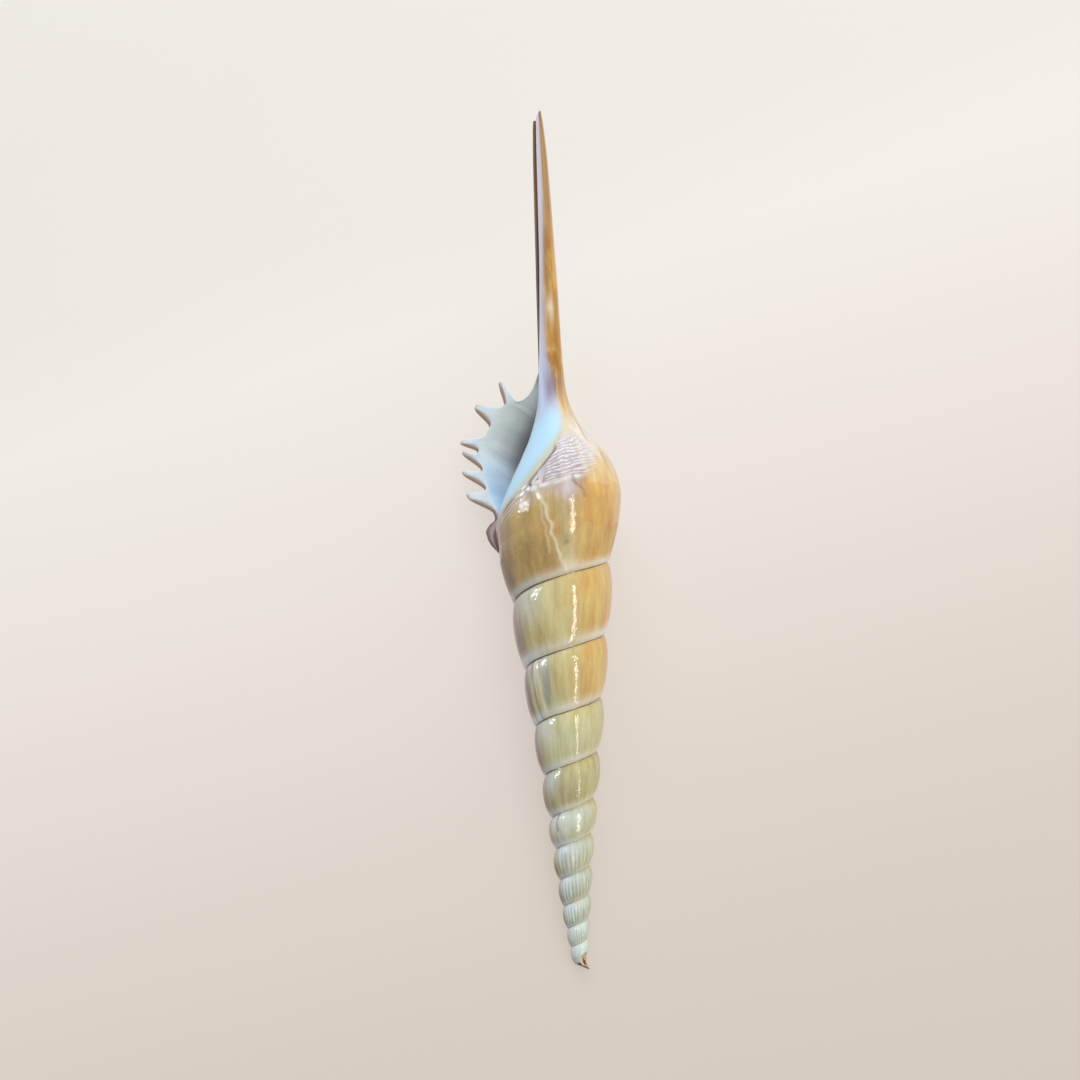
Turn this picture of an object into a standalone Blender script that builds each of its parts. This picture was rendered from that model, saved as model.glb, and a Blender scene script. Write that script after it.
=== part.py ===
"""Tibia shell: a slender spindle-shaped sea snail shell, lying on a flat surface.

The shell is one closed solid.  It is worked out the way the animal builds it, by sweeping
a profile round a growth axis in a right-handed (dextral) spiral.  Lengths are millimetres
in the growth frame (x to the side, y along the axis from apex to canal tip, z up) and
metres in the finished mesh.

Turns are counted along the growth: a quarter turn apart, -0.5 is the lip side, -0.25 the
top, 0 the far side, 0.25 the underside, and the outer lip ends near 0.5.
"""
import math

import bmesh
import bpy
import numpy as np
from mathutils import Matrix, Vector

MM = 0.001

# --- spire -------------------------------------------------------------------------------
WHORL_GROWTH = 1.184          # height of the cone grows by this factor each turn
CONE_HEIGHT = 113.83          # from the virtual apex to the suture at turn 0
LOST_TIP = 20.0               # virtual apex to the broken tip
FIRST_TURN = -10.8            # where the broken apex starts
EARLY_RISE = (1.15, -4.3, 1.1)  # early sutures lie this much higher: amount, turn, length
SPIRE_BEND = (-0.4, 20.0, 18.0)  # sideways bend of the spire: amount, centre, spread
SUTURE_RADIUS = (1.25, 0.117)  # at the tip, and its growth per mm of height
WHORL_BULGE = (0.45, 0.011)    # the same for the whorl's swelling between two sutures
EARLY_BULGE = (0.5, 33.0, 16.0)  # extra swelling of the early whorls: amount, centre, spread
EARLY_DIP = 0.62              # how much deeper their sutures lie
BULGE_POWER = 2.4
BULGE_BLEND = (-1.5, 0.5)     # turn where the last whorl's swelling takes over, and length

# --- last whorl --------------------------------------------------------------------------
LIP_TURN = 0.48               # the outer lip meets the spire here
BREAK_TURN = LIP_TURN - 1.0   # where the aperture starts, one turn earlier
SUTURE_CLIMB = (19.2, 26.0)   # rise of the last suture per turn, and its slowing
LIP_CORNER_RADIUS = 14.2
LAST_BULGE = ((-1.0, 1.35), (BREAK_TURN, 0.8), (0.0, 0.35), (LIP_TURN, 0.3))

# Profile stations 3 to 10 of the last whorl, from the level of the lip's corner to the
# root of the canal: (height, radius) at turn 0, then at the start of the aperture.
STATIONS_FAR = ((106.4, 15.97), (111.2, 16.4), (116.6, 15.3), (121.8, 12.6),
                (127.0, 8.5), (131.6, 5.9), (136.6, 4.45), (143.5, 3.85))
STATIONS_NEAR = ((97.06, 14.2), (101.8, 14.5), (106.8, 13.2), (112.6, 10.7),
                 (119.3, 7.6), (125.3, 5.0), (132.5, 3.5), (143.5, 3.85))
LATE_GROWTH = (0.55, 0.45)    # growth of height and radius after turn 0, against before it

# --- canal -------------------------------------------------------------------------------
CANAL = ((150.0, 3.6), (163.0, 3.35), (175.0, 3.0), (188.0, 2.6), (201.0, 2.1),
         (209.0, 1.5), (213.7, 0.95))
CANAL_BEND = (130.0, 1.1)     # the canal leans to the side from this height, by this much
CANAL_LIP_ANGLE = 303.0       # angle of the canal's lip side round the axis
GUTTER_ANGLES = (295.0, 260.0, 225.0, 190.0, 155.0, 120.0, 84.0)
CANAL_WALL_SHARE = 0.42       # thickest the canal's wall may be against its radius

# --- aperture and outer lip --------------------------------------------------------------
# Stations 0 to 9 of the outer lip's edge: side, height, depth.
LIP_EDGE = ((-14.1, 97.1, -1.8), (-17.0, 101.7, -4.5), (-15.1, 107.2, -7.4),
            (-17.4, 114.9, -9.8), (-18.2, 120.4, -10.4), (-19.0, 125.2, -10.5),
            (-16.3, 130.3, -9.8), (-12.0, 136.2, -8.4), (-7.3, 138.1, -6.6),
            (-3.9, 139.7, -4.7))
# Angle of the aperture's inner edge round the axis, stations 3 to 17.
INNER_EDGE = (-7.2, -7.0, -6.0, -3.0, 6.0, 22.0, 40.0, 53.0, 58.0, 72.0, 80.0, 83.0,
              83.0, 82.0, 80.0)
# Lobe and spines of the lip: station and half width of the root, then the tip.
SPINES = ((1.5, 0.35, (-17.4, 104.9, -6.5)), (2.62, 0.27, (-22.3, 114.0, -11.2)),
          (3.5, 0.27, (-23.3, 120.3, -11.8)), (4.5, 0.27, (-23.2, 125.5, -11.9)),
          (5.42, 0.23, (-23.4, 128.5, -11.5)), (6.55, 0.22, (-19.1, 137.2, -10.2)),
          (7.38, 0.16, (-12.7, 142.6, -8.8)))
SPINE_BLUNTNESS = 3.2
SPINE_THICKNESS = 1.5
SPINE_ROWS = (-1.4, -1.0, -0.6, 0.0, 0.6, 1.0, 1.4)  # rows of a spine, in half widths
LIP_FLARE_START = 0.10        # turn where the last whorl starts to follow the lip's edge
WALL = 1.3
LIP_THICKNESS = 2.0
RIM_SHARE = 0.55              # thickness of the rim's edge against the lip's
LIP_TO_CANAL = (8.0, 2.0)     # station where the lip turns into the canal's wall, and length
LIP_FACE = (0.25, 0.0, 1.0)   # where the lip's inner face looks
LIP_ROUNDING = (-0.5, 0.0, 0.1)  # how far the middle of the rim stands out
# Way of the cavity: in along the outer wall (turn, depth under the surface), then back
# along the columella (angle, share of its radius, step along the axis).
CAVITY_OUTSIDE = ((0.25, 1.3), (0.08, 1.4), (-0.08, 3.2))
CAVITY_INSIDE = ((198.0, 0.33, 5.0), (252.0, 0.62, 3.0), (317.0, 0.86, 1.5))
CAVITY_MOUTH = 0.10           # first stop of that way, in turns behind the lip's edge
CAVITY_TO_GUTTER = (8.0, 2.5)  # station where it turns into the canal's gutter, and length
FAN_POWER = 4                 # how fast the lip's thickness fades into the cavity's corner
APEX_PIT = (0.4, 0.3)         # width against the broken rim, and depth
TIP_CUT = 3.2                 # the canal's end is cut off askew, this much lower on the left

# --- way it lies -------------------------------------------------------------------------
REST_DOWN = (0.01, -0.13, -0.99)  # about which way is down when the shell lies
SHARP_ANGLE = 60.0

# --- fineness ----------------------------------------------------------------------------
STEPS_PER_TURN = 20
WHORL_ROWS = (0.0, 0.08, 0.22, 0.38, 0.5, 0.62, 0.75, 0.82, 0.873, 0.925, 1.0)
CANAL_ROWS = (8.0, 8.5, 9.0, 9.5, 10.0, 11.0, 12.0, 13.0, 14.0, 15.0, 16.0, 17.0)
POCKET_STEPS = 16

CORNER = 3                    # station where the inner edge starts
ROOT = 10                     # station of the canal's root
TIP = 17


def smooth_step(value):
    """Ease from 0 to 1 while value goes from 0 to 1."""
    value = min(max(value, 0.0), 1.0)
    return value * value * (3.0 - 2.0 * value)


def along(points, place):
    """Point of a smooth curve through points, at a fractional index."""
    last = len(points) - 1
    place = min(max(place, 0.0), float(last))
    index = min(int(place), last - 1)
    part = place - index
    before, start, end, after = (np.asarray(points[min(max(index + step, 0), last)], float)
                                 for step in (-1, 0, 1, 2))
    return 0.5 * (2.0 * start + (end - before) * part
                  + (2.0 * before - 5.0 * start + 4.0 * end - after) * part ** 2
                  + (3.0 * start - before - 3.0 * end + after) * part ** 3)


def suture(turn):
    """Height and radius of the suture at a turn."""
    if turn <= 0.0:
        amount, start, length = EARLY_RISE
        height = CONE_HEIGHT * WHORL_GROWTH ** turn - LOST_TIP
        height += amount * smooth_step((start - turn) / length)
        dip = EARLY_DIP * math.exp(-((height - EARLY_BULGE[1]) / EARLY_BULGE[2]) ** 2)
        return height, SUTURE_RADIUS[0] + SUTURE_RADIUS[1] * height - dip
    start = suture(0.0)
    height = start[0] + SUTURE_CLIMB[0] * turn - SUTURE_CLIMB[1] * turn ** 2
    gain = (LIP_CORNER_RADIUS - start[1]) * smooth_step(turn / LIP_TURN)
    return height, start[1] + gain


def bulge(turn, height):
    """Swelling of a whorl between its sutures."""
    if turn >= LAST_BULGE[0][0]:
        turns, sizes = zip(*LAST_BULGE)
        return float(np.interp(turn, turns, sizes))
    amount, centre, spread = EARLY_BULGE
    extra = amount * math.exp(-((height - centre) / spread) ** 2)
    size = WHORL_BULGE[0] + WHORL_BULGE[1] * height + extra
    blend = smooth_step((turn - BULGE_BLEND[0]) / BULGE_BLEND[1])
    return size + (LAST_BULGE[0][1] - size) * blend


def station(turn, place):
    """Height and radius of the last whorl's profile at a station from CORNER up."""
    if place >= ROOT:
        return tuple(along((STATIONS_FAR[-2], STATIONS_FAR[-1]) + CANAL, place - ROOT + 1))
    if turn <= BREAK_TURN and place == CORNER:
        return suture(turn + 1.0)
    far = along(STATIONS_FAR + CANAL[:1], place - CORNER)
    near = along((suture(LIP_TURN),) + STATIONS_NEAR[1:] + CANAL[:1], place - CORNER)
    step = (far - near) * turn / -BREAK_TURN
    if turn > 0.0:
        step = step * np.array(LATE_GROWTH)
    return tuple(far + step)


def profile(turn, place):
    """Height and radius of the outer surface, at a turn and a station."""
    if place >= CORNER:
        return station(turn, place)
    share = place / CORNER
    low = suture(turn)
    high = station(turn, CORNER)
    height = low[0] + share * (high[0] - low[0])
    swell = bulge(turn, height) * (1.0 - abs(2.0 * share - 1.0) ** BULGE_POWER)
    return height, low[1] + share * (high[1] - low[1]) + swell


def axis_shift(height):
    """How far the growth axis lies to the side at a height, in the spire and the canal."""
    amount, centre, spread = SPIRE_BEND
    spire = amount * math.exp(-((height - centre) / spread) ** 2)
    start, lean = CANAL_BEND
    return spire + lean * max(height - start, 0.0) / (CANAL[-1][0] - start)


def place_round(angle, height, radius):
    """Point at an angle round the growth axis, in degrees."""
    turn = math.radians(angle)
    return Vector((axis_shift(height) - radius * math.cos(turn), height,
                   radius * math.sin(turn)))


def grown(turn, place, inset=0.0):
    """Point at a depth under the outer surface as it would grow without a lip."""
    height, radius = profile(turn, place)
    angle = 360.0 * (turn + 0.5)
    cut = TIP_CUT * 0.5 * (1.0 + math.cos(math.radians(angle))) * max(place - TIP + 1.0, 0.0)
    return place_round(angle, height - cut, radius - inset)


def lip_edge(place):
    """Point of the outer lip's edge without its spines, and its turn."""
    canal_turn = CANAL_LIP_ANGLE / 360.0 - 0.5
    corner = grown(LIP_TURN, 0.0)
    if place == 0.0:
        return corner, LIP_TURN
    if place >= ROOT:
        return grown(canal_turn, place), canal_turn
    points = (corner,) + LIP_EDGE[1:] + (grown(canal_turn, ROOT),)
    point = Vector(along([tuple(stop) for stop in points], place))
    angle = math.atan2(point.z, axis_shift(point.y) - point.x)
    return point, angle / (2.0 * math.pi) + 0.5


def inner_turn(place):
    """Turn of the aperture's inner edge at a station."""
    if place <= CORNER:
        return BREAK_TURN
    return float(along(INNER_EDGE, place - CORNER)) / 360.0 - 0.5


def body_point(share, place):
    """Point of the last whorl: share 0 at the aperture's start, 1 at the outer lip."""
    edge, edge_turn = lip_edge(place)
    first = inner_turn(place)
    turn = first + share * (edge_turn - first)
    point = grown(turn, place)
    if place == 0.0 or turn <= LIP_FLARE_START:
        return point
    flare = (turn - LIP_FLARE_START) / (edge_turn - LIP_FLARE_START)
    return point + (edge - grown(edge_turn, place)) * flare ** 2


def spine(place):
    """Step from the lip's edge to its spines at a station, and the share of their length."""
    step = Vector((0.0, 0.0, 0.0))
    total = 0.0
    for centre, half, tip in SPINES:
        share = math.exp(-(abs(place - centre) / half) ** SPINE_BLUNTNESS)
        step += (Vector(tip) - lip_edge(centre)[0]) * share
        total += share
    return step, total


def lip_strip(column, place):
    """Columns over the lip's rim: 0 outer base, 1 outer edge, 2 inner edge, 3 inner base."""
    edge, _ = lip_edge(place)
    if place == 0.0 or column == 0:
        return edge
    body = smooth_step(place)
    canal = smooth_step((place - LIP_TO_CANAL[0]) / LIP_TO_CANAL[1])
    rim_wall = min(WALL, CANAL_WALL_SHARE * profile(0.0, place)[1])
    thick = (LIP_THICKNESS + (rim_wall - LIP_THICKNESS) * canal) * body
    inward = (Vector((-edge.x, 0.0, -edge.z)).normalized() + Vector(LIP_FACE)).normalized()
    step, share = spine(place)
    rim = RIM_SHARE * thick
    rim += (SPINE_THICKNESS - rim) * share
    middle = edge + inward * (0.5 * thick) + Vector(LIP_ROUNDING) * ((1.0 - share) * body)
    if column == 1:
        return middle + step - inward * (0.5 * rim)
    if column == 2:
        return middle + step + inward * (0.5 * rim)
    return edge + inward * thick


def cavity_stops(place):
    """Stops on the way of the cavity from the outer lip to the columella."""
    inset = min(WALL, CANAL_WALL_SHARE * profile(0.0, place)[1])
    _, edge_turn = lip_edge(place)
    height, radius = station(BREAK_TURN, place)
    cavity = [grown(edge_turn - CAVITY_MOUTH, place, WALL)]
    cavity += [grown(turn, place, depth) for turn, depth in CAVITY_OUTSIDE]
    cavity += [place_round(angle, height + rise, radius * part)
               for angle, part, rise in CAVITY_INSIDE]
    gutter = [grown(angle / 360.0 - 0.5, place, inset) for angle in GUTTER_ANGLES]
    in_canal = smooth_step((place - CAVITY_TO_GUTTER[0]) / CAVITY_TO_GUTTER[1])
    return [inside.lerp(groove, in_canal) for inside, groove in zip(cavity, gutter)]


def pocket_point(share, place):
    """Inner surface: share 0 at the lip's inner base, 1 at the aperture's inner edge."""
    level = max(place, float(CORNER))
    end = body_point(0.0, level)
    route = [lip_strip(3, level)] + cavity_stops(level) + [end]
    point = Vector(along([tuple(stop) for stop in route], share * (len(route) - 1)))
    if place >= CORNER:
        return point
    fan = end.lerp(point, place / CORNER)
    start = lip_strip(3, place) - end.lerp(lip_strip(3, level), place / CORNER)
    return fan + start * (1.0 - share) ** FAN_POWER


def sheet(mesh, columns, rows, surface):
    """Add a grid of faces whose corners lie at surface(column, row)."""
    made = bmesh.ops.create_grid(mesh, x_segments=len(columns) - 1, y_segments=len(rows) - 1,
                                 size=0.5)
    for vert in made["verts"]:
        column = columns[round((vert.co.x + 0.5) * (len(columns) - 1))]
        row = rows[round((vert.co.y + 0.5) * (len(rows) - 1))]
        vert.co = surface(column, row)


def row_stations():
    """Stations of the rows of the last whorl, finer where the spines are."""
    rows = {round(CORNER * share, 6) for share in WHORL_ROWS}
    for centre, half, _ in SPINES:
        if centre > CORNER:
            rows.update(round(centre + half * share, 6) for share in SPINE_ROWS)
    return sorted(rows.union(CANAL_ROWS))


def build_mesh():
    """The whole shell as one closed bmesh, in millimetres in the growth frame."""
    mesh = bmesh.new()
    whorl_rows = [round(CORNER * share, 6) for share in WHORL_ROWS]
    turns = [BREAK_TURN + step / STEPS_PER_TURN
             for step in range(-round((BREAK_TURN - FIRST_TURN) * STEPS_PER_TURN), 1)]
    sheet(mesh, turns, whorl_rows, grown)
    shares = [step / STEPS_PER_TURN for step in range(STEPS_PER_TURN + 1)]
    rows = row_stations()
    sheet(mesh, shares, rows, body_point)
    sheet(mesh, (0, 1, 2, 3), rows, lip_strip)
    sheet(mesh, [step / POCKET_STEPS for step in range(POCKET_STEPS + 1)], rows, pocket_point)
    bmesh.ops.remove_doubles(mesh, verts=mesh.verts, dist=0.001)
    bmesh.ops.dissolve_degenerate(mesh, edges=mesh.edges, dist=0.0005)
    return mesh


def close_ends(mesh):
    """Close the broken apex with a pit, and the end of the canal with a face."""
    rim = [edge for edge in mesh.edges if edge.is_boundary]
    apex = [edge for edge in rim if edge.verts[0].co.y < 0.5 * CONE_HEIGHT]
    canal = [edge for edge in rim if edge not in apex]
    bmesh.ops.triangle_fill(mesh, use_beauty=True, use_dissolve=False, edges=canal)
    step = bmesh.ops.extrude_edge_only(mesh, edges=apex)["geom"]
    ring = [item for item in step if isinstance(item, bmesh.types.BMVert)]
    centre = sum((vert.co for vert in ring), Vector()) / len(ring)
    for vert in ring:
        vert.co = centre + (vert.co - centre) * APEX_PIT[0] + Vector((0.0, APEX_PIT[1], 0.0))
    apex = [item for item in step if isinstance(item, bmesh.types.BMEdge)]
    bmesh.ops.edgenet_fill(mesh, edges=apex)
    bmesh.ops.triangulate(mesh, faces=mesh.faces)


def centre_of_mass(mesh):
    """Centre of mass of a closed, triangulated mesh of even density."""
    volume = 0.0
    moment = Vector()
    for face in mesh.faces:
        first, second, third = (vert.co for vert in face.verts)
        part = first.dot(second.cross(third))
        volume += part
        moment += (first + second + third) * (0.25 * part)
    return moment / volume


def resting_direction(mesh):
    """Direction that points down when the shell lies still, nearest to REST_DOWN."""
    centre = centre_of_mass(mesh)
    outer = mesh.copy()
    hull = bmesh.ops.convex_hull(outer, input=outer.verts, use_existing_faces=False)
    best = None
    for face in (item for item in hull["geom"] if isinstance(item, bmesh.types.BMFace)):
        down = face.normal if face.normal.dot(face.verts[0].co - centre) > 0.0 else -face.normal
        foot = centre + down * down.dot(face.verts[0].co - centre)
        if not bmesh.geometry.intersect_face_point(face, foot):
            continue
        if best is None or down.dot(Vector(REST_DOWN)) > best.dot(Vector(REST_DOWN)):
            best = down.copy()
    outer.free()
    return best


def lay_down(mesh):
    """Turn the shell as it lies, axis along Y, and stand it on the origin in metres."""
    turn = resting_direction(mesh).rotation_difference(Vector((0.0, 0.0, -1.0))).to_matrix()
    axis = turn @ Vector((0.0, 1.0, 0.0))
    swing = Matrix.Rotation(math.atan2(axis.x, axis.y), 3, "Z")
    bmesh.ops.transform(mesh, matrix=(swing @ turn).to_4x4(), verts=mesh.verts)
    low, high = (Vector([pick(vert.co[side] for vert in mesh.verts) for side in range(3)])
                 for pick in (min, max))
    middle = (low + high) / 2.0
    bmesh.ops.translate(mesh, vec=(-middle.x, -middle.y, -low.z), verts=mesh.verts)
    bmesh.ops.scale(mesh, vec=(MM, MM, MM), verts=mesh.verts)


def shell_material():
    """Glossy cream and olive shell."""
    material = bpy.data.materials.new("shell_glaze")
    material.use_nodes = True
    shader = material.node_tree.nodes["Principled BSDF"]
    shader.inputs["Base Color"].default_value = (0.62, 0.48, 0.25, 1.0)
    shader.inputs["Roughness"].default_value = 0.22
    shader.inputs["Metallic"].default_value = 0.0
    material.diffuse_color = (0.62, 0.48, 0.25, 1.0)
    return material


def main():
    """Build the shell."""
    for item in list(bpy.data.objects):
        bpy.data.objects.remove(item, do_unlink=True)
    mesh = build_mesh()
    close_ends(mesh)
    bmesh.ops.recalc_face_normals(mesh, faces=mesh.faces)
    lay_down(mesh)
    data = bpy.data.meshes.new("shell")
    mesh.to_mesh(data)
    mesh.free()
    data.materials.append(shell_material())
    data.shade_smooth()
    data.set_sharp_from_angle(angle=math.radians(SHARP_ANGLE))
    bpy.context.collection.objects.link(bpy.data.objects.new("shell", data))


if __name__ == "__main__":
    main()
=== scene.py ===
"""Dressed model of a spindle tibia shell, lying on a pale floor.

The fine shell is grown the way the animal grows it: a profile is carried round a growth
axis in a right-handed spiral.  Sizes are millimetres in the growth frame (x to the side,
y along the axis from apex to canal tip, z up from the axis) and metres in the row's frame.

Two numbers say where a point of the surface is.  Its turn counts trips round the axis:
0 on the far side of the last whorl, -0.25 on its front, and less towards the apex.  Its
place counts stations up the profile: 0 at the suture, 3 at the whorl's corner, 10 at the
root of the canal and 17 at its tip.  Over the lip and inside, a share from 0 to 1 takes
the part of the turn.
"""
from __future__ import annotations

import logging
import math
from dataclasses import dataclass, field
from enum import Enum
from functools import lru_cache
from typing import Callable, Sequence

import bmesh
import bpy
import numpy as np
from mathutils import Matrix, Quaternion, Vector, noise


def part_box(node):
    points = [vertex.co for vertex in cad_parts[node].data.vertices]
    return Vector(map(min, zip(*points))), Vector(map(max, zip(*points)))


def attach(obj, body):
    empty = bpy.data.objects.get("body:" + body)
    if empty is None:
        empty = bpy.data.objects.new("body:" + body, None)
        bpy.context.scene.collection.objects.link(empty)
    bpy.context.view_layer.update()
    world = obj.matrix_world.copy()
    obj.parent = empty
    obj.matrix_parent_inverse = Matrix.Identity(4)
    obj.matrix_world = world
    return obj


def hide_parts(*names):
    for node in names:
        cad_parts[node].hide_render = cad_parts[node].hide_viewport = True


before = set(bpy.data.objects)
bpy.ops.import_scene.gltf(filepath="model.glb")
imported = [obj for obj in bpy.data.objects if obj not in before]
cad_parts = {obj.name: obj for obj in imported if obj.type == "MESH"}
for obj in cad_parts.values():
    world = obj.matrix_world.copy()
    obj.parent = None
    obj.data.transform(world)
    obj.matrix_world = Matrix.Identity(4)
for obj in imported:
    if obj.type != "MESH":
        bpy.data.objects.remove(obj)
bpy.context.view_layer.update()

LOG = logging.getLogger("shell")
MM = 0.001
SEAMLESS = 99.0
Surface = Callable[[float, float], Vector]
Point = Sequence[float]


def smooth_step(value: float) -> float:
    """Ease from 0 to 1 while value goes from 0 to 1."""
    value = min(max(value, 0.0), 1.0)
    return value * value * (3.0 - 2.0 * value)


def bump(value: float, centre: float, width: float) -> float:
    """Bell of height 1 round centre."""
    return math.exp(-((value - centre) / width) ** 2)


def clamp(value: float, low: float = 0.0, high: float = 1.0) -> float:
    """Keep a value between two limits."""
    return max(min(value, high), low)


def along(points: Sequence[Point], place: float) -> np.ndarray:
    """Point of a smooth curve.

    Args:
        points: stops that the curve goes through.
        place: fractional index among the stops.

    Returns:
        The point there.
    """
    last = len(points) - 1
    place = min(max(place, 0.0), float(last))
    index = min(int(place), last - 1)
    part = place - index
    before, start, end, after = (np.asarray(points[min(max(index + step, 0), last)], float)
                                 for step in (-1, 0, 1, 2))
    return 0.5 * (2.0 * start + (end - before) * part
                  + (2.0 * before - 5.0 * start + 4.0 * end - after) * part ** 2
                  + (3.0 * start - before - 3.0 * end + after) * part ** 3)


@dataclass(frozen=True)
class Fade:
    """A smooth change from 0 at one value to 1 at another."""

    start: float
    end: float

    def at(self, value: float) -> float:
        """Share that is reached at a value."""
        return smooth_step((value - self.start) / (self.end - self.start))


@dataclass(frozen=True)
class Bell:
    """A soft rise and fall round a centre."""

    centre: float
    width: float
    height: float = 1.0

    def at(self, value: float) -> float:
        """Height at a value."""
        return self.height * bump(value, self.centre, self.width)


@dataclass(frozen=True)
class Line:
    """A value that goes straight from stop to stop."""

    stops: tuple[tuple[float, float], ...]

    def at(self, value: float) -> float:
        """Height of the line at a value."""
        return float(np.interp(value, *zip(*self.stops)))


@dataclass(frozen=True)
class Waver:
    """A smooth random value over the shell, from about -1 to 1 at full size.

    It has about so many humps to a turn around the axis, and so many to a place up it.
    """

    around: float
    up: float
    seed: float
    size: float = 2.0

    def at(self, turn: float, place: float = 0.0) -> float:
        """Value at a point."""
        spot = Vector((turn * self.around, place * self.up, self.seed))
        return self.size * noise.noise(spot)


@dataclass(frozen=True)
class Spot:
    """A soft patch round one point of the shell."""

    turn: Bell
    place: Bell

    def at(self, turn: float, place: float) -> float:
        """Strength of the patch at a point."""
        return self.turn.at(turn) * self.place.at(place)


@dataclass(frozen=True)
class Spire:
    """The coiled cone, from the broken apex to the last suture.

    Its sutures follow a cone that grows by the same factor every turn.
    """

    growth: float = 1.184
    cone_height: float = 113.83
    lost_tip: float = 20.0
    first_turn: float = -10.8
    early_rise: float = 1.15
    early_rise_fade: Fade = Fade(-4.3, -5.4)
    bend: Bell = Bell(20.0, 18.0, -0.4)
    suture_radius: float = 1.25
    suture_slope: float = 0.117
    whorl_bulge: float = 0.45
    bulge_slope: float = 0.011
    early_bulge: Bell = Bell(33.0, 16.0, 0.5)
    early_dip: Bell = Bell(33.0, 16.0, 0.62)
    last_bulge_fade: Fade = Fade(-1.5, -1.0)
    bulge_power: float = 2.4
    lip_turn: float = 0.48
    climb: float = 19.2
    climb_slowing: float = 26.0
    corner_radius: float = 14.2

    @property
    def break_turn(self) -> float:
        """Turn where the aperture starts."""
        return self.lip_turn - 1.0

    @property
    def last_bulge(self) -> Line:
        """Swelling of the last whorl by its turn."""
        return Line(((-1.0, 1.35), (self.break_turn, 0.8), (0.0, 0.35), (self.lip_turn, 0.3)))

    def suture(self, turn: float) -> tuple[float, float]:
        """Suture under a turn of the shell.

        Args:
            turn: where it is, in trips round the axis.

        Returns:
            The suture's height along the axis and its radius.
        """
        if turn <= 0.0:
            height = self.cone_height * self.growth ** turn - self.lost_tip
            height += self.early_rise * self.early_rise_fade.at(turn)
            radius = self.suture_radius + self.suture_slope * height
            return height, radius - self.early_dip.at(height)
        height, radius = self.suture(0.0)
        gain = (self.corner_radius - radius) * smooth_step(turn / self.lip_turn)
        return height + self.climb * turn - self.climb_slowing * turn ** 2, radius + gain

    def bulge(self, turn: float, height: float) -> float:
        """Swelling of a whorl between its sutures.

        Args:
            turn: where it is, in trips round the axis.
            height: height of the point along the axis.

        Returns:
            How far the middle of the whorl stands out.
        """
        last = self.last_bulge
        first_turn, first_size = last.stops[0]
        if turn >= first_turn:
            return last.at(turn)
        size = self.whorl_bulge + self.bulge_slope * height + self.early_bulge.at(height)
        return size + (first_size - size) * self.last_bulge_fade.at(turn)


@dataclass(frozen=True)
class LastWhorl:
    """Profile of the last whorl and the canal, by stations from the lip's corner up.

    The far profile is the one at turn 0 and the near one lies where the aperture starts,
    both as heights and radii.  The inner edge is given as angles from the lip's side.
    """

    corner: int = 3
    root: int = 10
    tip: int = 17
    far: tuple[Point, ...] = ((106.4, 15.97), (111.2, 16.4), (116.6, 15.3), (121.8, 12.6),
                              (127.0, 8.5), (131.6, 5.9), (136.6, 4.45), (143.5, 3.85))
    near: tuple[Point, ...] = ((101.8, 14.5), (106.8, 13.2), (112.6, 10.7), (119.3, 7.6),
                               (125.3, 5.0), (132.5, 3.5), (143.5, 3.85))
    canal: tuple[Point, ...] = ((150.0, 3.6), (163.0, 3.35), (175.0, 3.0), (188.0, 2.6),
                                (201.0, 2.1), (209.0, 1.5), (213.7, 0.95))
    late_growth: Point = (0.55, 0.45)
    bend_start: float = 130.0
    bend: float = 1.1
    canal_lip_angle: float = 303.0
    tip_cut: float = 3.2
    inner_edge: tuple[float, ...] = (-7.2, -7.0, -6.0, -3.0, 6.0, 22.0, 40.0, 53.0, 58.0,
                                     66.0, 70.0, 71.0, 72.0, 72.0, 72.0)


@dataclass(frozen=True)
class OuterLip:
    """Edge of the outer lip, its spines, and the cavity behind it.

    A spine has the place of its middle, half its width in places, and its tip.  A stop of
    the cavity has a turn and a depth outside the aperture, or an angle, a share of the
    radius and a rise inside it.
    """

    edge: tuple[Point, ...] = ((-17.0, 101.7, -4.5), (-15.1, 107.2, -7.4),
                               (-17.4, 114.9, -9.8), (-18.2, 120.4, -10.4),
                               (-19.0, 125.2, -10.5), (-16.3, 130.3, -9.8),
                               (-12.0, 136.2, -8.4), (-7.1, 137.0, -6.6),
                               (-3.9, 139.7, -4.7))
    spines: tuple[tuple[float, float, Point], ...] = (
        (1.5, 0.35, (-17.4, 104.9, -6.5)), (2.62, 0.27, (-22.3, 114.0, -11.2)),
        (3.5, 0.27, (-23.3, 120.3, -11.8)), (4.5, 0.27, (-23.2, 125.5, -11.9)),
        (5.42, 0.23, (-23.4, 128.5, -11.5)), (6.55, 0.22, (-19.1, 137.2, -10.2)),
        (7.38, 0.16, (-12.7, 142.6, -8.8)))
    spine_bluntness: float = 3.2
    least_spine: float = 0.001
    flare_start: float = 0.10
    wall: float = 1.3
    thickness: float = 2.0
    thinning: Fade = Fade(8.0, 10.0)
    rim_share: float = 0.55
    face: Point = (0.25, 0.0, 1.0)
    rounding: Point = (-0.5, 0.0, 0.1)
    spine_thickness: float = 1.5
    cavity_start: float = 0.10
    cavity_outside: tuple[Point, ...] = ((0.25, 1.3), (0.08, 1.4), (-0.08, 3.2))
    cavity_inside: tuple[Point, ...] = ((198.0, 0.33, 5.0), (252.0, 0.62, 3.0),
                                        (317.0, 0.86, 1.5))
    gutter_angles: tuple[float, ...] = (295.0, 260.0, 225.0, 190.0, 155.0, 120.0, 84.0)
    gutter_fade: Fade = Fade(8.0, 10.5)
    canal_wall_share: float = 0.42
    fan_power: int = 4


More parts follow.
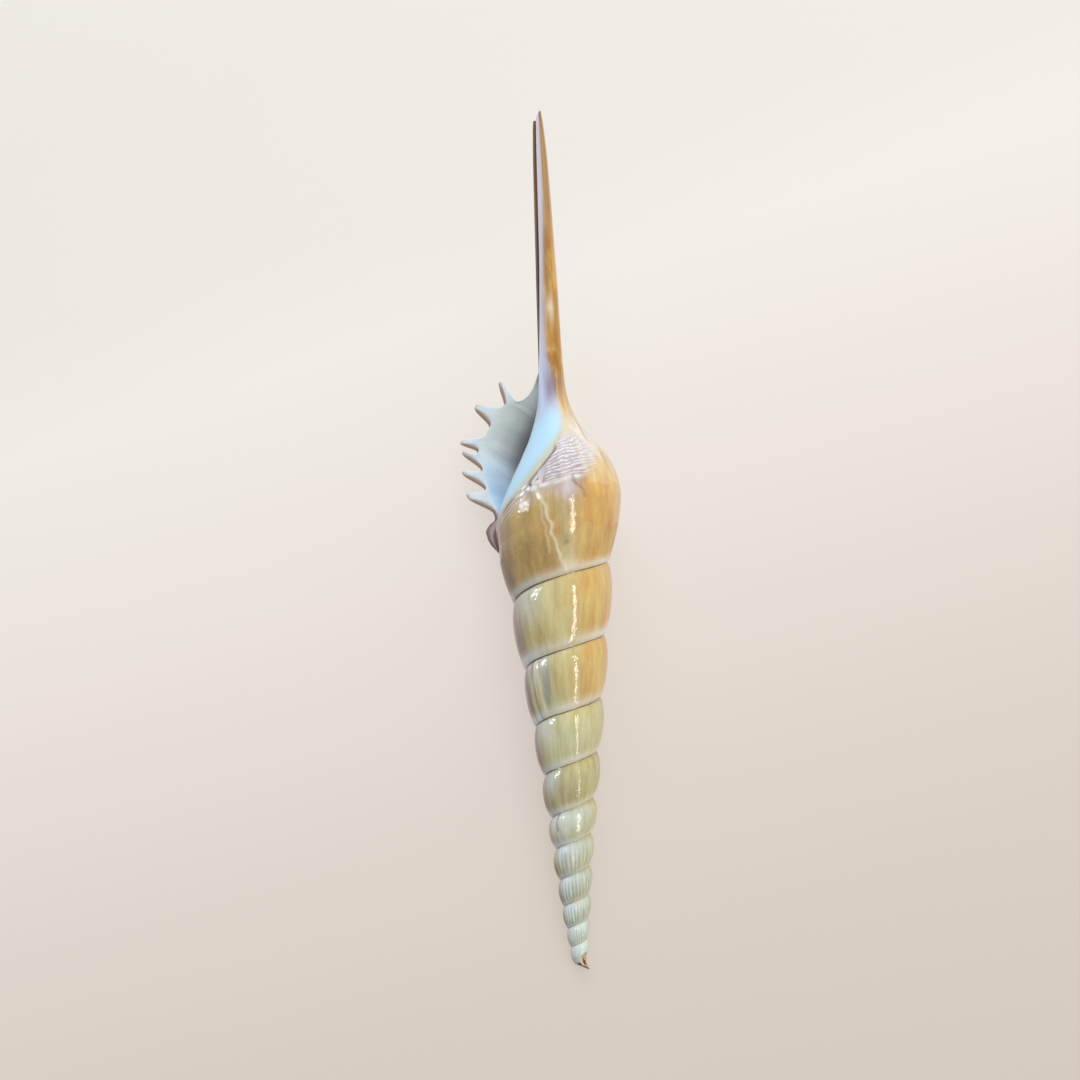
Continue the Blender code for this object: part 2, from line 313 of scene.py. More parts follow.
@dataclass(frozen=True)
class Fineness:
    """How finely the shell is meshed."""

    whorl_rows: int = 16
    front_steps: int = 136
    back_steps: int = 56
    rows_per_station: tuple[tuple[float, float, int], ...] = (
        (3.0, 4.8, 15), (4.8, 7.0, 36), (7.0, 10.0, 10), (10.0, 17.0, 6))
    spine_row_gap: float = 0.045
    spine_reach: float = 1.5
    settling: float = 0.3
    rim_steps: int = 12
    cavity_steps: int = 32
    merge: float = 0.001
    shortest_edge: float = 0.0005


class Form:
    """Where every point of the shell lies, in the growth frame, in millimetres."""

    def __init__(self, spire: Spire, whorl: LastWhorl, lip: OuterLip) -> None:
        """Keep the sizes.

        Args:
            spire: the coiled cone.
            whorl: the last whorl.
            lip: the outer lip.
        """
        self.spire, self.whorl, self.lip = spire, whorl, lip
        self.lip_edge = lru_cache(maxsize=None)(self._lip_edge)
        self._keys = lru_cache(maxsize=None)(self._station_keys)
        self.route = lru_cache(maxsize=None)(self._route)
        self.inner_turn = lru_cache(maxsize=None)(self._inner_turn)

    def _station_keys(self, place: float) -> tuple[np.ndarray, np.ndarray]:
        """Profile of the last whorl at its two ends.

        Args:
            place: the station.

        Returns:
            Height and radius at turn 0, and where the aperture starts.
        """
        whorl = self.whorl
        corner = self.spire.suture(self.spire.lip_turn)
        far = along(whorl.far + whorl.canal[:1], place - whorl.corner)
        near = along((corner,) + whorl.near + whorl.canal[:1], place - whorl.corner)
        return far, near

    def station(self, turn: float, place: float) -> tuple[float, float]:
        """Profile of the last whorl above its corner.

        Args:
            turn: where it is, in trips round the axis.
            place: the station.

        Returns:
            Its height along the axis and its radius.
        """
        whorl = self.whorl
        if place >= whorl.root:
            points = whorl.far[-2:] + whorl.canal
            height, radius = along(points, place - whorl.root + 1)
            return float(height), float(radius)
        if turn <= self.spire.break_turn and place == whorl.corner:
            return self.spire.suture(turn + 1.0)
        far, near = self._keys(place)
        step = (far - near) * turn / -self.spire.break_turn
        if turn > 0.0:
            step = step * np.array(whorl.late_growth)
        height, radius = far + step
        return float(height), float(radius)

    def profile(self, turn: float, place: float) -> tuple[float, float]:
        """Profile of the outer surface.

        Args:
            turn: where it is, in trips round the axis.
            place: the station.

        Returns:
            Its height along the axis and its radius.
        """
        if place >= self.whorl.corner:
            return self.station(turn, place)
        share = place / self.whorl.corner
        low, high = self.spire.suture(turn), self.station(turn, self.whorl.corner)
        height = low[0] + share * (high[0] - low[0])
        swell = 1.0 - abs(2.0 * share - 1.0) ** self.spire.bulge_power
        swell *= self.spire.bulge(turn, height)
        return height, low[1] + share * (high[1] - low[1]) + swell

    def whorl_height(self, turn: float) -> float:
        """Height of the whorl between its sutures at a turn."""
        return self.station(turn, self.whorl.corner)[0] - self.spire.suture(turn)[0]

    def from_suture(self, turn: float, place: float) -> float:
        """Distance from the nearest suture, in millimetres.

        Args:
            turn: where it is, in trips round the axis.
            place: the station.

        Returns:
            The distance up or down the whorl.
        """
        share = place / self.whorl.corner
        if turn < self.spire.first_turn + 1.0:
            share = 1.0 - share
        elif turn <= self.spire.break_turn:
            share = min(share, 1.0 - share)
        return share * self.whorl_height(turn)

    def axis_shift(self, height: float) -> float:
        """Lean of the growth axis.

        Args:
            height: height along the axis.

        Returns:
            How far it lies to the side there.
        """
        whorl = self.whorl
        share = max(height - whorl.bend_start, 0.0) / (whorl.canal[-1][0] - whorl.bend_start)
        return whorl.bend * share + self.spire.bend.at(height)

    def place_round(self, angle: float, height: float, radius: float) -> Vector:
        """Point round the growth axis.

        Args:
            angle: angle from the lip's side, in degrees.
            height: height along the axis.
            radius: distance from the axis.

        Returns:
            The point.
        """
        turn = math.radians(angle)
        return Vector((self.axis_shift(height) - radius * math.cos(turn), height,
                       radius * math.sin(turn)))

    def grown(self, turn: float, place: float, inset: float = 0.0) -> Vector:
        """Point of the surface as it would grow without a lip.

        Args:
            turn: where it is, in trips round the axis.
            place: the station.
            inset: depth under the outer surface.

        Returns:
            The point.
        """
        height, radius = self.profile(turn, place)
        end = max(place - self.whorl.tip + 1.0, 0.0)
        angle = 360.0 * (turn + 0.5)
        cut = self.whorl.tip_cut * 0.5 * (1.0 + math.cos(math.radians(angle))) * end
        return self.place_round(angle, height - cut, radius - inset)

    def _lip_edge(self, place: float) -> tuple[Vector, float]:
        """Edge of the outer lip without its spines.

        Args:
            place: the station.

        Returns:
            The point there, and its turn.
        """
        whorl = self.whorl
        canal_turn = whorl.canal_lip_angle / 360.0 - 0.5
        corner = self.grown(self.spire.lip_turn, 0.0)
        if place == 0.0:
            return corner, self.spire.lip_turn
        if place >= whorl.root:
            return self.grown(canal_turn, place), canal_turn
        points = (tuple(corner),) + self.lip.edge + (tuple(self.grown(canal_turn, whorl.root)),)
        point = Vector(along(points, place))
        angle = math.atan2(point.z, self.axis_shift(point.y) - point.x)
        return point, angle / (2.0 * math.pi) + 0.5

    def _inner_turn(self, place: float) -> float:
        """Turn of the aperture's inner edge.

        Args:
            place: the station.

        Returns:
            The turn there.
        """
        if place <= self.whorl.corner:
            return self.spire.break_turn
        angles = [(angle,) for angle in self.whorl.inner_edge]
        return float(along(angles, place - self.whorl.corner)[0]) / 360.0 - 0.5

    def body_turn(self, share: float, place: float) -> float:
        """Turn of a point of the last whorl."""
        first = self.inner_turn(place)
        return first + share * (self.lip_edge(place)[1] - first)

    def body_point(self, share: float, place: float) -> Vector:
        """Point of the last whorl, which flares towards the outer lip.

        Args:
            share: 0 where the aperture starts, 1 at the outer lip.
            place: the station.

        Returns:
            The point.
        """
        edge, edge_turn = self.lip_edge(place)
        turn = self.body_turn(share, place)
        point = self.grown(turn, place)
        start = self.lip.flare_start
        if place == 0.0 or turn <= start:
            return point
        flare = (turn - start) / (edge_turn - start)
        return point + (edge - self.grown(edge_turn, place)) * flare ** 2

    def spine(self, place: float) -> tuple[Vector, float]:
        """Spines at a station of the lip.

        Args:
            place: the station.

        Returns:
            The step from the lip's edge to them, and the share of their length.
        """
        step, total = Vector((0.0, 0.0, 0.0)), 0.0
        for centre, half, tip in self.lip.spines:
            share = math.exp(-(abs(place - centre) / half) ** self.lip.spine_bluntness)
            if share > self.lip.least_spine:
                step += (Vector(tip) - self.lip_edge(centre)[0]) * share
                total += share
        return step, total

    def rim_stops(self, place: float) -> list[Vector]:
        """Stops over the lip's rim.

        Args:
            place: the station.

        Returns:
            Four points, from the rim's outer base to its inner base.
        """
        edge, _ = self.lip_edge(place)
        lip, body = self.lip, smooth_step(place)
        wall = min(lip.wall, lip.canal_wall_share * self.profile(0.0, place)[1])
        thick = (lip.thickness + (wall - lip.thickness) * lip.thinning.at(place)) * body
        inward = (Vector((-edge.x, 0.0, -edge.z)).normalized() + Vector(lip.face)).normalized()
        step, spine_share = self.spine(place)
        rim = lip.rim_share * thick
        rim += (lip.spine_thickness - rim) * spine_share
        middle = edge + inward * (0.5 * thick)
        middle = middle + Vector(lip.rounding) * ((1.0 - spine_share) * body)
        return [edge, middle + step - inward * (0.5 * rim),
                middle + step + inward * (0.5 * rim), edge + inward * thick]

    def rim_point(self, share: float, place: float) -> Vector:
        """Point over the lip's rim.

        Args:
            share: 0 at the rim's outer base, 1 at its inner base.
            place: the station.

        Returns:
            The point.
        """
        if place == 0.0 or share <= 0.0:
            return self.lip_edge(place)[0]
        stops = self.route(place)[:5]
        return Vector(along(stops, 3.0 * share))

    def _route(self, place: float) -> tuple[tuple[float, ...], ...]:
        """Stops over the rim and through the cavity.

        Args:
            place: the station.

        Returns:
            The points, from the rim's outer base to the aperture's inner edge.
        """
        rim = self.rim_stops(place)
        corner = float(self.whorl.corner)
        if place < corner:
            return tuple(tuple(stop) for stop in rim + self._fan(rim[-1], place / corner))
        lip = self.lip
        inset = min(lip.wall, lip.canal_wall_share * self.profile(0.0, place)[1])
        _, edge_turn = self.lip_edge(place)
        height, radius = self.station(self.spire.break_turn, place)
        cavity = [self.grown(edge_turn - lip.cavity_start, place, lip.wall)]
        cavity += [self.grown(turn, place, depth) for turn, depth in lip.cavity_outside]
        cavity += [self.place_round(angle, height + rise, radius * part)
                   for angle, part, rise in lip.cavity_inside]
        gutter = [self.grown(angle / 360.0 - 0.5, place, inset)
                  for angle in lip.gutter_angles]
        in_canal = lip.gutter_fade.at(place)
        middle = [inside.lerp(groove, in_canal) for inside, groove in zip(cavity, gutter)]
        stops = rim + middle + [self.body_point(0.0, place)]
        return tuple(tuple(stop) for stop in stops)

    def _fan(self, base: Vector, share: float) -> list[Vector]:
        """Stops of the cavity below the corner, drawn together towards the inner edge.

        Args:
            base: the rim's inner base.
            share: 0 at the suture, 1 at the corner.

        Returns:
            The points after the rim's base.
        """
        deep = self.route(float(self.whorl.corner))
        end = Vector(deep[-1])
        shift = base - end.lerp(Vector(deep[3]), share)
        fan = [end.lerp(Vector(stop), share) for stop in deep[4:]]
        return [stop + shift * (1.0 - (index + 1) / len(fan)) ** self.lip.fan_power
                for index, stop in enumerate(fan)]

    def pocket_point(self, share: float, place: float) -> Vector:
        """Point of the cavity's wall.

        Args:
            share: 0 at the lip's inner base, 1 at the aperture's inner edge.
            place: the station.

        Returns:
            The point.
        """
        route = self.route(place)
        return Vector(along(route, 3.0 + share * (len(route) - 4)))


def tone(red: int, green: int, blue: int) -> Vector:
    """Linear colour of a display colour given in bytes."""
    return Vector([((value / 255.0 + 0.055) / 1.055) ** 2.4 for value in (red, green, blue)])


def phase_of(turn: float) -> float:
    """Turn within its whorl: 0 at the front, negative on the lip's side."""
    return (turn + 0.75) % 1.0 - 0.5


@dataclass(frozen=True)
class Colours:
    """Colours of the shell's layers, and of the painted shade, sheen, glints and shadows laid
    over them.
    """

    olive: Vector = tone(196, 168, 110)
    straw: Vector = tone(210, 194, 134)
    gold: Vector = tone(226, 186, 110)
    amber: Vector = tone(218, 162, 92)
    mauve: Vector = tone(126, 94, 88)
    lilac: Vector = tone(206, 202, 214)
    mist: Vector = tone(196, 176, 162)
    cream: Vector = tone(240, 230, 200)
    band: Vector = tone(244, 242, 230)
    moss: Vector = tone(192, 184, 140)
    pale_green: Vector = tone(206, 206, 164)
    bone: Vector = tone(204, 214, 200)
    ice: Vector = tone(220, 236, 226)
    sky_glaze: Vector = tone(190, 230, 255)
    pearl: Vector = tone(220, 234, 242)
    white: Vector = tone(242, 248, 255)
    lavender: Vector = tone(196, 204, 234)
    shade: Vector = tone(150, 142, 148)
    # Painted shadow deep inside the aperture.
    deep: Vector = tone(58, 38, 56)
    furrow: Vector = tone(170, 148, 154)
    dusk: Vector = tone(150, 136, 156)
    slate: Vector = tone(150, 160, 158)
    honey: Vector = tone(178, 126, 50)
    plum: Vector = tone(104, 80, 82)
    bark: Vector = tone(140, 104, 76)
    tan: Vector = tone(176, 146, 122)
    soil: Vector = tone(96, 70, 56)
    broken: Vector = tone(226, 190, 164)
    # Painted shadow inside the hole of the broken apex.
    hollow: Vector = tone(96, 66, 44)
    smoke: Vector = tone(132, 130, 120)


@dataclass(frozen=True)
class Mark:
    """A growth scar or a crevice: where it crosses a whorl, and how it shows.

    Its path is a list of places and turns.  Its height is in millimetres, negative for a
    crevice, and its colour is the strength of its tint.
    """

    path: tuple[tuple[float, float], ...]
    width: float
    height: float
    colour: float
    overrun: float = 0.3
    wander: float = 0.006
    wander_step: float = 2.3
    wander_seed: float = 7.0

    def strength(self, turn: float, place: float) -> float:
        """How strongly the mark shows.

        Args:
            turn: where it is, in trips round the axis.
            place: the station.

        Returns:
            A value from 0 to 1.
        """
        (first, start), (last, _) = self.path[0], self.path[-1]
        if not first - self.overrun <= place <= last + self.overrun:
            return 0.0
        spot = Vector((place * self.wander_step, start * self.wander_seed, 1.0))
        middle = Line(self.path).at(place) + self.wander * noise.noise(spot)
        return bump(turn, middle, self.width)


@dataclass(frozen=True)
class Suture:
    """The seam between the whorls: a dark line in a groove, a ledge and a pale band.

    Widths and heights are in millimetres, those of the groove and the ledge for a whorl
    of full size.
    """

    line: float = 0.02
    late_line: float = 0.17
    late: Fade = Fade(-4.8, -2.6)
    # The dark line is drawn thinner on the front and the right than on the lip's side: partly a
    # dark joint, partly painted shade on the shaded side.
    front: Fade = Fade(-0.12, 0.02)
    front_thinning: float = 0.5
    evenness: float = 0.85
    line_waver: Waver = Waver(11.0, 0.0, 30.0, 1.2)
    thinnest: float = 0.01
    early: Fade = Fade(-5.0, -6.0)
    groove_depth: float = 0.30
    groove_width: float = 0.45
    early_filling: float = 0.12
    ledge: Bell = Bell(1.1, 0.6, 0.13)
    ledge_waver: Waver = Waver(14.0, 0.0, 12.0, 1.0)
    band: Bell = Bell(0.055, 0.085)
    band_waver: Waver = Waver(6.0, 0.0, 9.0, 0.6)
    band_strength: float = 0.9
    early_weakening: float = 0.35
    # Painted sheen: the band turns pearly on the lip's side.
    pearly_side: Fade = Fade(-0.02, -0.14)

    def line_widths(self, distance: float, turn: float) -> float:
        """Distance from the dark line.

        Args:
            distance: distance from the suture in millimetres.
            turn: where it is, in trips round the axis.

        Returns:
            The distance in widths of the line there.
        """
        width = self.line + self.late_line * self.late.at(turn)
        # Painted shade: the line is wider on the lip's side.
        width *= 1.0 - self.front_thinning * self.front.at(phase_of(turn))
        width *= self.evenness + self.line_waver.at(turn)
        return distance / max(width, self.thinnest)

    def relief(self, distance: float, turn: float, size: float, above: bool) -> float:
        """Height of the groove and the ledge.

        Args:
            distance: distance from the suture in millimetres.
            turn: where it is, in trips round the axis.
            size: size of the whorl, 1 for a large one.
            above: whether the suture lies at the foot of this whorl.

        Returns:
            The height in millimetres.
        """
        depth = self.groove_depth - self.early_filling * self.early.at(turn)
        height = -depth * size * bump(distance, 0.0, self.groove_width * size)
        if above:
            height += size * (1.0 + self.ledge_waver.at(turn)) * self.ledge.at(distance / size)
        return height

    def paint(self, colour: Vector, tones: Colours, turn: float, share: float) -> Vector:
        """Lay the pale band over a colour, turning pearly on the lip's side as a painted sheen.

        Args:
            colour: the colour below.
            tones: the shell's colours.
            turn: where it is, in trips round the axis.
            share: share of the way up the whorl.

        Returns:
            The colour with the band.
        """
        band = self.band.at(share) * (self.evenness + self.band_waver.at(turn))
        strength = self.band_strength - self.early_weakening * self.early.at(turn)
        # Painted sheen on the lip's side of the band.
        edge = tones.band.lerp(tones.pearl, self.pearly_side.at(phase_of(turn)))
        return colour.lerp(edge, clamp(band) * strength)


@dataclass(frozen=True)
class Ribs:
    """Ribs along the early whorls."""

    to_a_whorl: float = 27.0
    end: Fade = Fade(-5.8, -6.5)
    start: Fade = Fade(-9.9, -8.7)
    belt: Bell = Bell(0.4, 0.4)
    height: float = 0.10
    furrows: Fade = Fade(0.3, -0.7)
    furrow_shade: float = 0.32

    def share(self, turn: float) -> float:
        """How fully the ribs are grown at a turn."""
        return self.end.at(turn) * self.start.at(turn)

    def wave(self, turn: float) -> float:
        """Ribs and furrows, from -1 to 1."""
        return math.cos(2.0 * math.pi * self.to_a_whorl * turn)

    def relief(self, turn: float, share: float) -> float:
        """Height of the ribs at a turn and a share of the way up the whorl."""
        return self.height * self.share(turn) * self.wave(turn) * self.belt.at(share)

    def paint(self, colour: Vector, tones: Colours, turn: float, share: float) -> Vector:
        """Darken the furrows between the ribs with painted shade.

        Args:
            colour: the colour below.
            tones: the shell's colours.
            turn: where it is, in trips round the axis.
            share: share of the way up the whorl.

        Returns:
            The colour with the furrows.
        """
        # Painted shade in the furrows between the ribs.
        furrow = self.share(turn) * self.furrows.at(self.wave(turn)) * self.belt.at(share)
        return colour.lerp(tones.smoke, self.furrow_shade * furrow)


@dataclass(frozen=True)
class Cords:
    """Wavy spiral cords under the lilac film, with painted glints along their crests and painted
    shade in their furrows.
    """

    low: Fade = Fade(4.85, 5.05)
    high: Fade = Fade(7.0, 6.6)
    left: Line = Line(((4.8, -0.288), (5.6, -0.28), (6.3, -0.262), (6.9, -0.225)))
    left_softness: float = 0.015
    far_share: float = 0.35
    far: Fade = Fade(0.04, -0.06)
    near: Fade = Fade(-0.13, -0.16)
    first: float = 5.1
    gap: float = 0.165
    spread: Line = Line(((-0.28, 0.86), (-0.23, 1.0), (-0.17, 1.06), (-0.10, 1.15)))
    wander: Waver = Waver(16.0, 2.2, 40.0, 0.7)
    crinkle: Waver = Waver(75.0, 3.0, 44.0, 0.38)
    height: float = 0.07
    glints: Waver = Waver(70.0, 5.0, 70.0, 2.2)
    crest_glint: float = 1.3
    least_glint: float = 0.15
    furrow_shade: float = 0.65

    def wave(self, turn: float, place: float) -> float:
        """Cords and the furrows between them.

        Args:
            turn: where it is, in trips round the axis.
            place: the station.

        Returns:
            A value from -1 to 1, and 0 away from the cords.
        """
        inside = self.low.at(place) * self.high.at(place)
        inside *= smooth_step((turn - self.left.at(place)) / self.left_softness)
        if inside <= 0.0:
            return 0.0
        inside *= (self.far_share * self.far.at(turn)
                   + (1.0 - self.far_share) * self.near.at(turn))
        wander = self.wander.at(turn, place) + self.crinkle.at(turn, place)
        steps = (place - self.first) / (self.gap * self.spread.at(turn))
        return inside * math.cos(2.0 * math.pi * (steps + wander))

    def paint(self, colour: Vector, tones: Colours, turn: float, place: float) -> Vector:
        """Lighten the crests with painted glints and darken the furrows with painted shade.

        Args:
            colour: the colour below.
            tones: the shell's colours.
            turn: where it is, in trips round the axis.
            place: the station.

        Returns:
            The colour with the cords.
        """
        ridge = self.wave(turn, place)
        # Painted shade in the furrows; painted highlight along the crests.
        if ridge <= 0.0:
            return colour.lerp(tones.furrow, -self.furrow_shade * ridge)
        glint = smooth_step(0.5 + self.glints.at(turn, place))
        glint = self.least_glint + (1.0 - self.least_glint) * glint
        return colour.lerp(tones.white, min(self.crest_glint * ridge, 1.0) * glint)


@dataclass(frozen=True)
class Terraces:
    """Low steps beside the white glaze."""

    start: float = -0.46
    end: Fade = Fade(-0.29, -0.31)
    edge: Line = Line(((-0.50, 4.0), (-0.41, 4.6), (-0.33, 5.2), (-0.27, 6.1)))
    top: Fade = Fade(0.0, 0.1)
    foot: Fade = Fade(0.85, 0.55)
    gap: float = 0.26
    height: float = 0.05
    tint: float = 0.3

    def wave(self, turn: float, place: float) -> float:
        """Steps and the hollows between them.

        Args:
            turn: where it is, in trips round the axis.
            place: the station.

        Returns:
            A value from -1 to 1, and 0 away from the steps.
        """
        if not self.start < turn < self.end.start:
            return 0.0
        below = self.edge.at(turn) - place
        inside = self.top.at(below) * self.foot.at(below) * self.end.at(turn)
        return inside * math.cos(2.0 * math.pi * below / self.gap)


@dataclass(frozen=True)
class Crinkles:
    """Mauve crinkles between the knot and the cords."""

    patch: Spot = Spot(Bell(-0.292, 0.018), Bell(5.25, 0.55))
    grain: Waver = Waver(90.0, 1.05, 26.0, 3.2)
    lean: float = 0.25
    height: float = 0.08
    tint: float = 1.0

    def wave(self, turn: float, place: float) -> float:
        """Crests and hollows, from -1 to 1."""
        return self.patch.at(turn, place) * clamp(self.grain.at(turn, place) - self.lean, -1.0)


@dataclass(frozen=True)
class Folds:
    """Growth folds over the shoulder beside the lilac film."""

    belt: Bell = Bell(6.6, 1.5)
    left: Fade = Fade(-0.14, -0.09)
    right: Fade = Fade(0.12, 0.02)
    slant: float = 0.02
    slant_from: float = 6.0
    grain: Waver = Waver(30.0, 0.7, 33.0, 6.0)
    height: float = 0.07
    tint: float = 0.6

    def wave(self, turn: float, place: float) -> float:
        """Folds and the hollows between them.

        Args:
            turn: where it is, in trips round the axis.
            place: the station.

        Returns:
            A value from -1 to 1.
        """
        inside = self.belt.at(place) * self.left.at(turn) * self.right.at(turn)
        sweep = turn - self.slant * (place - self.slant_from)
        return inside * clamp(self.grain.at(sweep, place), -1.0)


@dataclass(frozen=True)
class Knot:
    """Star-shaped white knot where the glaze, the cords and the scar meet."""

    turn: float = -0.307
    place: float = 5.1
    turn_scale: float = 100.0
    place_scale: float = 5.4
    points: int = 5
    slant: float = 0.6
    radius: float = 2.6
    point_share: float = 0.4
    softness: float = 0.7
    height: float = 0.15
    tint: float = 0.7

    def strength(self, turn: float, place: float) -> float:
        """How strongly the knot shows.

        Args:
            turn: where it is, in trips round the axis.
            place: the station.

        Returns:
            A value from 0 to 1.
        """
        across = (turn - self.turn) * self.turn_scale
        up = (place - self.place) * self.place_scale
        wave = math.cos(self.points * math.atan2(up, across) + self.slant)
        star = 1.0 - self.point_share * (1.0 - wave)
        return smooth_step((self.radius * star - math.hypot(across, up)) / self.softness)


@dataclass(frozen=True)
class Hem:
    """Raised lower edge of the lilac film."""

    place: float = 4.86
    width: float = 0.09
    wander: Waver = Waver(22.0, 0.0, 50.0, 0.12)
    left: Fade = Fade(-0.40, -0.35)
    right: Fade = Fade(-0.15, -0.19)
    gaps: Waver = Waver(45.0, 0.0, 60.0, 1.5)
    fullness: float = 0.6
    height: float = 0.12
    tint: float = 0.85

    def strength(self, turn: float, place: float) -> float:
        """How strongly the hem shows.

        Args:
            turn: where it is, in trips round the axis.
            place: the station.

        Returns:
            A value from 0 to 1.
        """
        full = smooth_step(self.fullness + self.gaps.at(turn))
        edge = bump(place, self.place + self.wander.at(turn), self.width)
        return edge * self.left.at(turn) * self.right.at(turn) * full


@dataclass(frozen=True)
class Film:
    """The thin lilac glaze beyond the white one."""

    edge: Line = Line(((4.0, -0.17), (5.4, -0.09), (6.3, 0.0), (7.2, 0.3)))
    edge_softness: float = 0.08
    foot: float = 3.7
    foot_slope: float = 2.0
    foot_turn: float = -0.36
    top: Fade = Fade(8.8, 7.3)
    lilac: Fade = Fade(4.6, 5.5)
    cream: Fade = Fade(6.6, 7.5)
    cream_tint: float = 0.7
    strength: float = 0.9

    def cover(self, turn: float, place: float) -> float:
        """Share of the film over a point.

        Args:
            turn: where it is, in trips round the axis.
            place: the station.

        Returns:
            A value from 0 to 1.
        """
        foot = self.foot + self.foot_slope * max(turn - self.foot_turn, 0.0)
        edge = smooth_step((self.edge.at(place) - turn) / self.edge_softness)
        return smooth_step(place - foot) * self.top.at(place) * edge

    def colour(self, tones: Colours, place: float) -> Vector:
        """Colour of the film at a station."""
        colour = tones.mist.lerp(tones.lilac, self.lilac.at(place))
        return colour.lerp(tones.cream, self.cream_tint * self.cream.at(place))


@dataclass(frozen=True)
class PurplePatch:
    """The purple patch at the root of the canal."""

    turn: float = -0.238
    slant: float = 0.01
    slant_from: float = 9.3
    width: float = 0.05
    belt: Bell = Bell(9.35, 0.5, 0.95)

    def at(self, turn: float, place: float) -> float:
        """Strength of the patch at a point."""
        middle = self.turn - self.slant * (place - self.slant_from)
        return bump(turn, middle, self.width) * self.belt.at(place)


@dataclass(frozen=True)
class InnerLip:
    """The white glaze over the aperture's inner side, and its colours.

    Its edge is a list of places and turns.
    """

    edge: Line = Line((
        (3.0, -0.60), (4.6, -0.41), (5.2, -0.33), (6.1, -0.275), (6.9, -0.215), (7.3, -0.175),
        (7.7, -0.152), (8.2, -0.145), (8.7, -0.162), (9.3, -0.215), (10.2, -0.265),
        (11.6, -0.275), (13.0, -0.25), (14.0, -0.228), (15.8, -0.222), (17.0, -0.21)))
    softness: float = 0.03
    neck_softness: float = 0.05
    neck: Fade = Fade(7.0, 8.0)
    thickness: float = 0.22
    thinning: Fade = Fade(10.0, 8.5)
    lavender: Fade = Fade(7.9, 9.1)
    rim_width: float = 0.035
    rim_end: Fade = Fade(9.0, 8.0)
    rim_tint: float = 0.75
    cream: Fade = Fade(-0.22, -0.14)
    cream_tint: float = 0.6
    lilac: Fade = Fade(9.6, 11.6)
    purple: PurplePatch = PurplePatch()

    def cover(self, turn: float, place: float) -> float:
        """Share of the white glaze over a point, from 0 to 1."""
        softness = self.softness + self.neck_softness * self.neck.at(place)
        return smooth_step((self.edge.at(place) - turn) / softness + 0.5)

    def colour(self, tones: Colours, turn: float, place: float) -> Vector:
        """Colour of the white glaze.

        Args:
            tones: the shell's colours.
            turn: where it is, in trips round the axis.
            place: the station.

        Returns:
            The linear colour.
        """
        colour = tones.sky_glaze.lerp(tones.lavender, self.lavender.at(place))
        rim = bump(turn, self.edge.at(place), self.rim_width) * self.rim_end.at(place)
        colour = colour.lerp(tones.straw, self.rim_tint * rim)
        colour = colour.lerp(tones.cream, self.cream_tint * self.cream.at(turn))
        colour = colour.lerp(tones.lilac, self.lilac.at(place))
        return colour.lerp(tones.dusk, self.purple.at(turn, place))


@dataclass(frozen=True)
class Canal:
    """Gold and tan colours of the neck and the canal."""

    neck: Fade = Fade(8.2, 9.6)
    mottle: Waver = Waver(5.0, 2.1, 4.0, 1.5)
    grain: Waver = Waver(22.0, 7.0, 14.0, 1.6)
    honey: float = 0.45
    mottle_honey: float = 0.5
    grain_side: Fade = Fade(-0.10, -0.18)
    grain_tint: float = 0.4
    misty_root: Fade = Fade(10.0, 8.8)
    mist_tint: float = 0.7
    tan_gold: float = 0.38
    tan_end: Fade = Fade(12.6, 14.2)
    pale_spot: Spot = Spot(Bell(-0.20, 0.05), Bell(11.65, 0.22, 0.8))
    pale_side: Fade = Fade(-0.10, 0.0)
    pale_tint: float = 0.35
    brown_tip: Fade = Fade(15.4, 16.6)
    tip_tint: float = 0.55
    brown_side: Fade = Fade(-0.10, -0.04)
    brown_neck: Bell = Bell(8.6, 0.8, 0.5)
    purple: PurplePatch = PurplePatch()

    def paint(self, colour: Vector, tones: Colours, turn: float, place: float) -> Vector:
        """Lay the canal's colours over a colour.

        Args:
            colour: the colour below.
            tones: the shell's colours.
            turn: where it is, in trips round the axis.
            place: the station.

        Returns:
            The colour with the canal's.
        """
        mottle = smooth_step(0.5 + self.mottle.at(turn, place))
        grain = smooth_step(0.5 + self.grain.at(turn, place))
        gold = tones.gold.lerp(tones.honey, self.honey + self.mottle_honey * mottle)
        gold = gold.lerp(tones.bark, self.grain_tint * grain * self.grain_side.at(turn))
        gold = gold.lerp(tones.mist, self.mist_tint * self.misty_root.at(place))
        tan = tones.mauve.lerp(tones.gold, self.tan_gold)
        gold = gold.lerp(tan, self.tan_end.at(place))
        gold = gold.lerp(tones.cream, self.pale_spot.at(turn, place))
        gold = gold.lerp(tones.cream, self.pale_tint * self.pale_side.at(turn))
        gold = gold.lerp(tones.bark, self.tip_tint * self.brown_tip.at(place))
        gold = gold.lerp(tones.bark, self.brown_side.at(turn) * self.brown_neck.at(place))
        colour = colour.lerp(gold, self.neck.at(place))
        return colour.lerp(tones.dusk, self.purple.at(turn, place))


